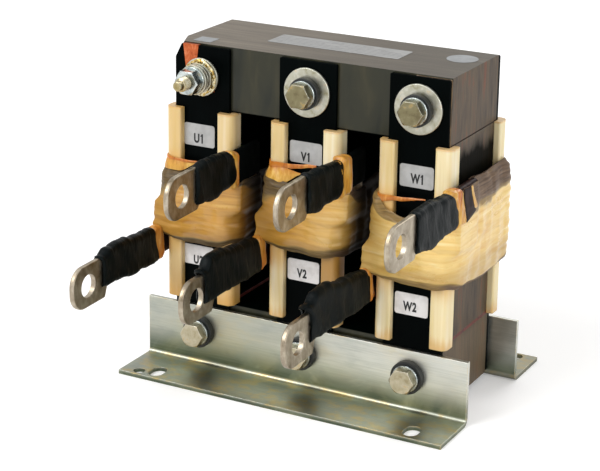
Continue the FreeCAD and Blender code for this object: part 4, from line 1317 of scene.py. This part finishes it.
def make_bead():
    """Varnish bead down the right edge of the W strip and along its top."""
    up, over = 152.0, 20.0

    def rule(u, v):
        turn = 2.0 * math.pi * v
        size = 0.5 + 0.16 * lump(111, u * 22.0)
        run = u * (up + over)
        if run < up:
            x, z = 84.5 + 0.15 * lump(113, run / 9.0), 40.0 + run
        else:
            x, z = 84.5 - (run - up), 192.1 + size * 0.7 * math.sin(turn)
        return (x + size * math.cos(turn), -32.3 + 0.6 * size * math.sin(turn), z)

    return soft_sheet(200, 8, rule, 0.0)


def panel_length(name, description, default, low, high):
    """A length for the panel, in metres."""
    return bpy.props.FloatProperty(
        name=name, description=description, default=default, min=low, max=high, unit="LENGTH",
        subtype="DISTANCE",
    )


class ReactorSettings(bpy.types.PropertyGroup):
    tape_build: panel_length("Coil tape build", "Thickness of the taped coil at its belly", 0.0056, 0.003, 0.008)
    tape_wrinkle: panel_length("Tape wrinkle", "Height of the soft ridges between tape laps", 0.0007, 0.0, 0.002)
    sleeve_wrinkle: panel_length("Sleeve wrinkle", "Height of the creases in the black tape", 0.0008, 0.0, 0.002)
    label_width: panel_length("Label width", "Width of a terminal label", 0.020, 0.01, 0.03)
    label_height: panel_length("Label height", "Height of a terminal label", 0.0125, 0.008, 0.02)
    label_colour: bpy.props.FloatVectorProperty(
        name="Label colour", description="Colour of the label film", default=linear("B0B0AF")[:3],
        min=0.0, max=1.0, size=3, subtype="COLOR",
    )


class REACTOR_OT_core(bpy.types.Operator):
    """Gives the laminated core, its spacers and its insulating strips their finishes"""
    bl_idname = "reactor.core"
    bl_label = "Core and insulation"

    def execute(self, context):
        core = ["top_yoke", "bottom_yoke"] + ["limb_" + phase for phase in PHASES]
        dress(core, material(varnished_laminations))
        dress(["gap_spacer_" + phase for phase in PHASES], material(plain_finish, "Dark red gap board"))
        dress(["joint_sheet_" + phase for phase in PHASES], material(plain_finish, "Brown joint paper"))
        strips = [end + "_strip_" + phase for end in ("front", "rear") for phase in PHASES]
        dress(strips, material(black_laminate))
        return {"FINISHED"}


class REACTOR_OT_corner_bars(bpy.types.Operator):
    """Finishes the twelve resin bars that hold the coils off the limbs"""
    bl_idname = "reactor.corner_bars"
    bl_label = "Corner bars"

    def execute(self, context):
        places = [end + "_" + side for end in ("front", "rear") for side in ("left", "right")]
        dress([place + "_bar_" + phase for phase in PHASES for place in places], material(pultruded_resin))
        return {"FINISHED"}


class REACTOR_OT_brackets(bpy.types.Operator):
    """Finishes the folded mounting brackets"""
    bl_idname = "reactor.brackets"
    bl_label = "Mounting brackets"

    def execute(self, context):
        dress(["front_bracket", "rear_bracket"], material(plated_sheet))
        return {"FINISHED"}


class REACTOR_OT_hardware(bpy.types.Operator):
    """Finishes bolts, nuts, washers, bushes and the earthing stud"""
    bl_idname = "reactor.hardware"
    bl_label = "Clamping hardware"

    def execute(self, context):
        warm = ("Yellow-passivated bolt", "9B9276", "B3AC95", "C8C3B0", 0.3, True)
        dress(["lower_clamp_bolts"], material(plated_hardware, *warm))
        tarnished = ("Tarnished yellow bolt", "5E5A49", "737059", "8A8670", 0.32, True)
        dress(["upper_clamp_bolts"], material(plated_hardware, *tarnished))
        cool = ("Blue-passivated nut", "8C979A", "B4BFC0", "D2DADA", 0.2)
        dress(["clamp_nuts", "small_washers"], material(plated_hardware, *cool))
        plain = material(plated_hardware, "Plated steel washer", "8B8A74", "ABAC9F", "C6C8C2", 0.3)
        dress(["wide_washers"], plain)
        dress(["insulating_bushes"], material(plain_finish, "Black moulded bush"))
        bright = material(plated_hardware, "Plated stud", "857A54", "A29878", "C2BAA0", 0.28)
        stud = finish_piece(make_stud(), "threaded_stud", bright, 30.0)
        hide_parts("earth_stud")
        finish_piece(make_stack_washers(), "stack_washers", plain, 40.0)
        foil = material(plain_finish, "Flux-stained crumpled foil")
        finish_piece(make_stack_foil(), "stack_foil", foil, 40.0)
        return {"FINISHED"}


class REACTOR_OT_terminals(bpy.types.Operator):
    """Finishes the six tinned terminals and the copper of the windings"""
    bl_idname = "reactor.terminals"
    bl_label = "Tinned terminals"

    def execute(self, context):
        dress(["terminal_" + name for name in LEADS], material(tinned_copper))
        copper = ["winding_" + phase for phase in PHASES] + ["earth_foil"]
        dress(copper, material(plain_finish, "Hand-creased copper foil"))
        return {"FINISHED"}


class REACTOR_OT_coils(bpy.types.Operator):
    """Lays the varnished tape round the three coils"""
    bl_idname = "reactor.coils"
    bl_label = "Taped coils"

    def execute(self, context):
        settings = context.scene.reactor
        tape = material(varnished_tape)
        for phase in PHASES:
            item = make_coil(phase, settings)
            finish_piece(item, "coil_tape_" + phase, tape, 60.0)
            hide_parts("coil_wrap_" + phase, "winding_" + phase)
        return {"FINISHED"}


class REACTOR_OT_leads(bpy.types.Operator):
    """Winds the black sleeves and the amber bindings on the six leads"""
    bl_idname = "reactor.leads"
    bl_label = "Taped leads"

    def execute(self, context):
        settings = context.scene.reactor
        amber = material(amber_tape)
        black = material(black_tape)
        brown = material(plain_finish, "Pooled brown varnish")
        dim = material(plain_finish, "Sooted varnished cloth")
        for phase in PHASES:
            for end in "12":
                name = phase + end
                sleeve = make_sleeve(name, settings)
                finish_piece(sleeve, "taped_sleeve_" + name, black, 50.0)
                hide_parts("sleeve_" + name)
                band = make_lead_tape(name)
                finish_piece(band, "lead_binding_" + name, amber, 50.0)
                root = make_joint_tape(name)
                # The roots of U1 and V1 are near black: painted shade in the gaps beside them
                wound = dim if name in ("u1", "v1") else brown
                finish_piece(root, "joint_tape_" + name, wound, 50.0)
            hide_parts("exit_tapes_" + phase)
        return {"FINISHED"}


class REACTOR_OT_ties(bpy.types.Operator):
    """Ties the coils to their front left bars and lays the varnish patches"""
    bl_idname = "reactor.ties"
    bl_label = "Ties and patches"

    def execute(self, context):
        settings = context.scene.reactor
        amber = material(amber_tape)
        for phase in PHASES:
            finish_piece(make_tie(phase), "tie_tape_" + phase, amber, 60.0)
        for phase in "uv":
            finish_piece(make_collar(phase), "bar_collar_" + phase, amber, 60.0)
        corners = ((-32.5, 115.5), (-21.4, 119.6), (-28.6, 135.0), (-39.6, 135.4))
        patch = make_coil_patch("w", settings, corners, 0.35)
        brown = material(plain_finish, "Pooled brown varnish")
        finish_piece(patch, "varnish_patch_w", brown, 60.0)
        corners = ((-24.2, 121.0), (-20.0, 121.0), (-26.6, 134.8), (-28.8, 134.8))
        border = make_coil_patch("w", settings, corners, 0.45)
        finish_piece(border, "patch_border_w", amber, 60.0)
        ochre = material(plain_finish, "Ochre varnish bead")
        finish_piece(make_bead(), "varnish_bead_w", ochre, 60.0)
        return {"FINISHED"}


class REACTOR_OT_labels(bpy.types.Operator):
    """Puts on the terminal labels, the ruled plate and the plain stickers"""
    bl_idname = "reactor.labels"
    bl_label = "Labels and plate"

    def execute(self, context):
        settings = context.scene.reactor
        grey = material(plain_finish, "Silver label film", tuple(settings.label_colour))
        pale = material(plain_finish, "White label film")
        ink = material(plain_finish, "Black print")
        for name in LABELS:
            film = grey if name[1] == "1" else pale
            finish_piece(make_label(name, settings), "label_" + name, film, 30.0)
            finish_piece(make_mark(name), "mark_" + name, ink, 30.0)
        plate = make_plate(1.1, 1.1, 40.75, 10.1, 1.2)
        finish_piece(plate, "ruled_plate", material(ruled_film), 30.0)
        dim = material(plain_finish, "Soiled sticker film")
        finish_piece(make_round_sticker(), "round_sticker", dim, 30.0)
        square = make_plate(-71.0, -23.0, 5.65, 5.2, 0.4)
        finish_piece(square, "small_sticker", dim, 30.0)
        return {"FINISHED"}


class REACTOR_OT_stage(bpy.types.Operator):
    """Sets up the pale floor, the soft lamps and the camera"""
    bl_idname = "reactor.stage"
    bl_label = "Studio stage"

    def execute(self, context):
        scene = context.scene
        floor = begin(bpy.ops.mesh.primitive_grid_add, x_subdivisions=8, y_subdivisions=8, size=14.0)
        floor.name = "studio_floor"
        floor.data.materials.append(studio_board())
        world = scene.world or bpy.data.worlds.new("studio")
        scene.world = world
        world.use_nodes = True
        tree = world.node_tree
        tree.nodes.clear()
        soft, white = (add(tree, "Background", "FFFFFF", strength) for strength in (0.55, 1.0))
        add(tree, "OutputWorld", Surface=add(tree, "MixShader", seen_behind(tree), soft, white))
        lamps = (
            ("key", (-0.75, -1.25, 1.35), (-0.02, -0.02, 0.09), 1.1, 25.0),
            ("side", (1.5, -0.55, 0.7), (0.0, 0.0, 0.09), 0.9, 8.0),
            ("back", (0.2, 1.5, 1.3), (0.0, 0.0, 0.1), 1.2, 12.0),
        )
        for name, place, aim, size, power in lamps:
            light = bpy.data.lights.new(name, "AREA")
            light.shape = "SQUARE"
            light.size = size
            light.energy = power
            lamp = bpy.data.objects.new(name, light)
            scene.collection.objects.link(lamp)
            lamp.location = place
            way = Vector(place) - Vector(aim)
            lamp.rotation_euler = way.to_track_quat("Z", "Y").to_euler()
        camera_data = bpy.data.cameras.new("photo_camera")
        camera_data.sensor_fit = "HORIZONTAL"
        camera_data.sensor_width = 36.0
        camera_data.lens = 113.56
        camera_data.shift_y = -0.1425
        camera_data.clip_start = 0.05
        camera_data.clip_end = 60.0
        camera = bpy.data.objects.new("photo_camera", camera_data)
        scene.collection.objects.link(camera)
        azimuth = math.radians(28.013)
        elevation = math.radians(16.51)
        roll = math.radians(0.839)
        back = Vector((
            math.sin(azimuth) * math.cos(elevation),
            -math.cos(azimuth) * math.cos(elevation),
            math.sin(elevation),
        ))
        right = Vector((math.cos(azimuth), math.sin(azimuth), 0.0))
        up = back.cross(right)
        across = right * math.cos(roll) + up * math.sin(roll)
        upright = up * math.cos(roll) - right * math.sin(roll)
        target = Vector((-21.78, -1.0, 129.889)) * MM
        turned = Matrix((across, upright, back)).transposed().to_4x4()
        camera.matrix_world = Matrix.Translation(target + back * 1.083042) @ turned
        scene.camera = camera
        scene.view_settings.view_transform = "Standard"
        return {"FINISHED"}


class REACTOR_PT_panel(bpy.types.Panel):
    bl_label = "Line reactor"
    bl_idname = "REACTOR_PT_panel"
    bl_space_type = "VIEW_3D"
    bl_region_type = "UI"
    bl_category = "Reactor"

    def draw(self, context):
        settings = context.scene.reactor
        for name in ReactorSettings.__annotations__:
            self.layout.prop(settings, name)
        for operator in OPERATORS:
            self.layout.operator(operator.bl_idname)


OPERATORS = (
    REACTOR_OT_core,
    REACTOR_OT_corner_bars,
    REACTOR_OT_brackets,
    REACTOR_OT_hardware,
    REACTOR_OT_terminals,
    REACTOR_OT_coils,
    REACTOR_OT_leads,
    REACTOR_OT_ties,
    REACTOR_OT_labels,
    REACTOR_OT_stage,
)
CLASSES = (ReactorSettings, *OPERATORS, REACTOR_PT_panel)


def register():
    for part in CLASSES:
        bpy.utils.register_class(part)
    bpy.types.Scene.reactor = bpy.props.PointerProperty(type=ReactorSettings)


def unregister():
    del bpy.types.Scene.reactor
    for part in reversed(CLASSES):
        bpy.utils.unregister_class(part)


def main():
    register()
    bpy.ops.reactor.core()
    bpy.ops.reactor.corner_bars()
    bpy.ops.reactor.brackets()
    bpy.ops.reactor.hardware()
    bpy.ops.reactor.terminals()
    bpy.ops.reactor.coils()
    bpy.ops.reactor.leads()
    bpy.ops.reactor.ties()
    bpy.ops.reactor.labels()
    bpy.ops.reactor.stage()


if __name__ == "__main__":
    main()
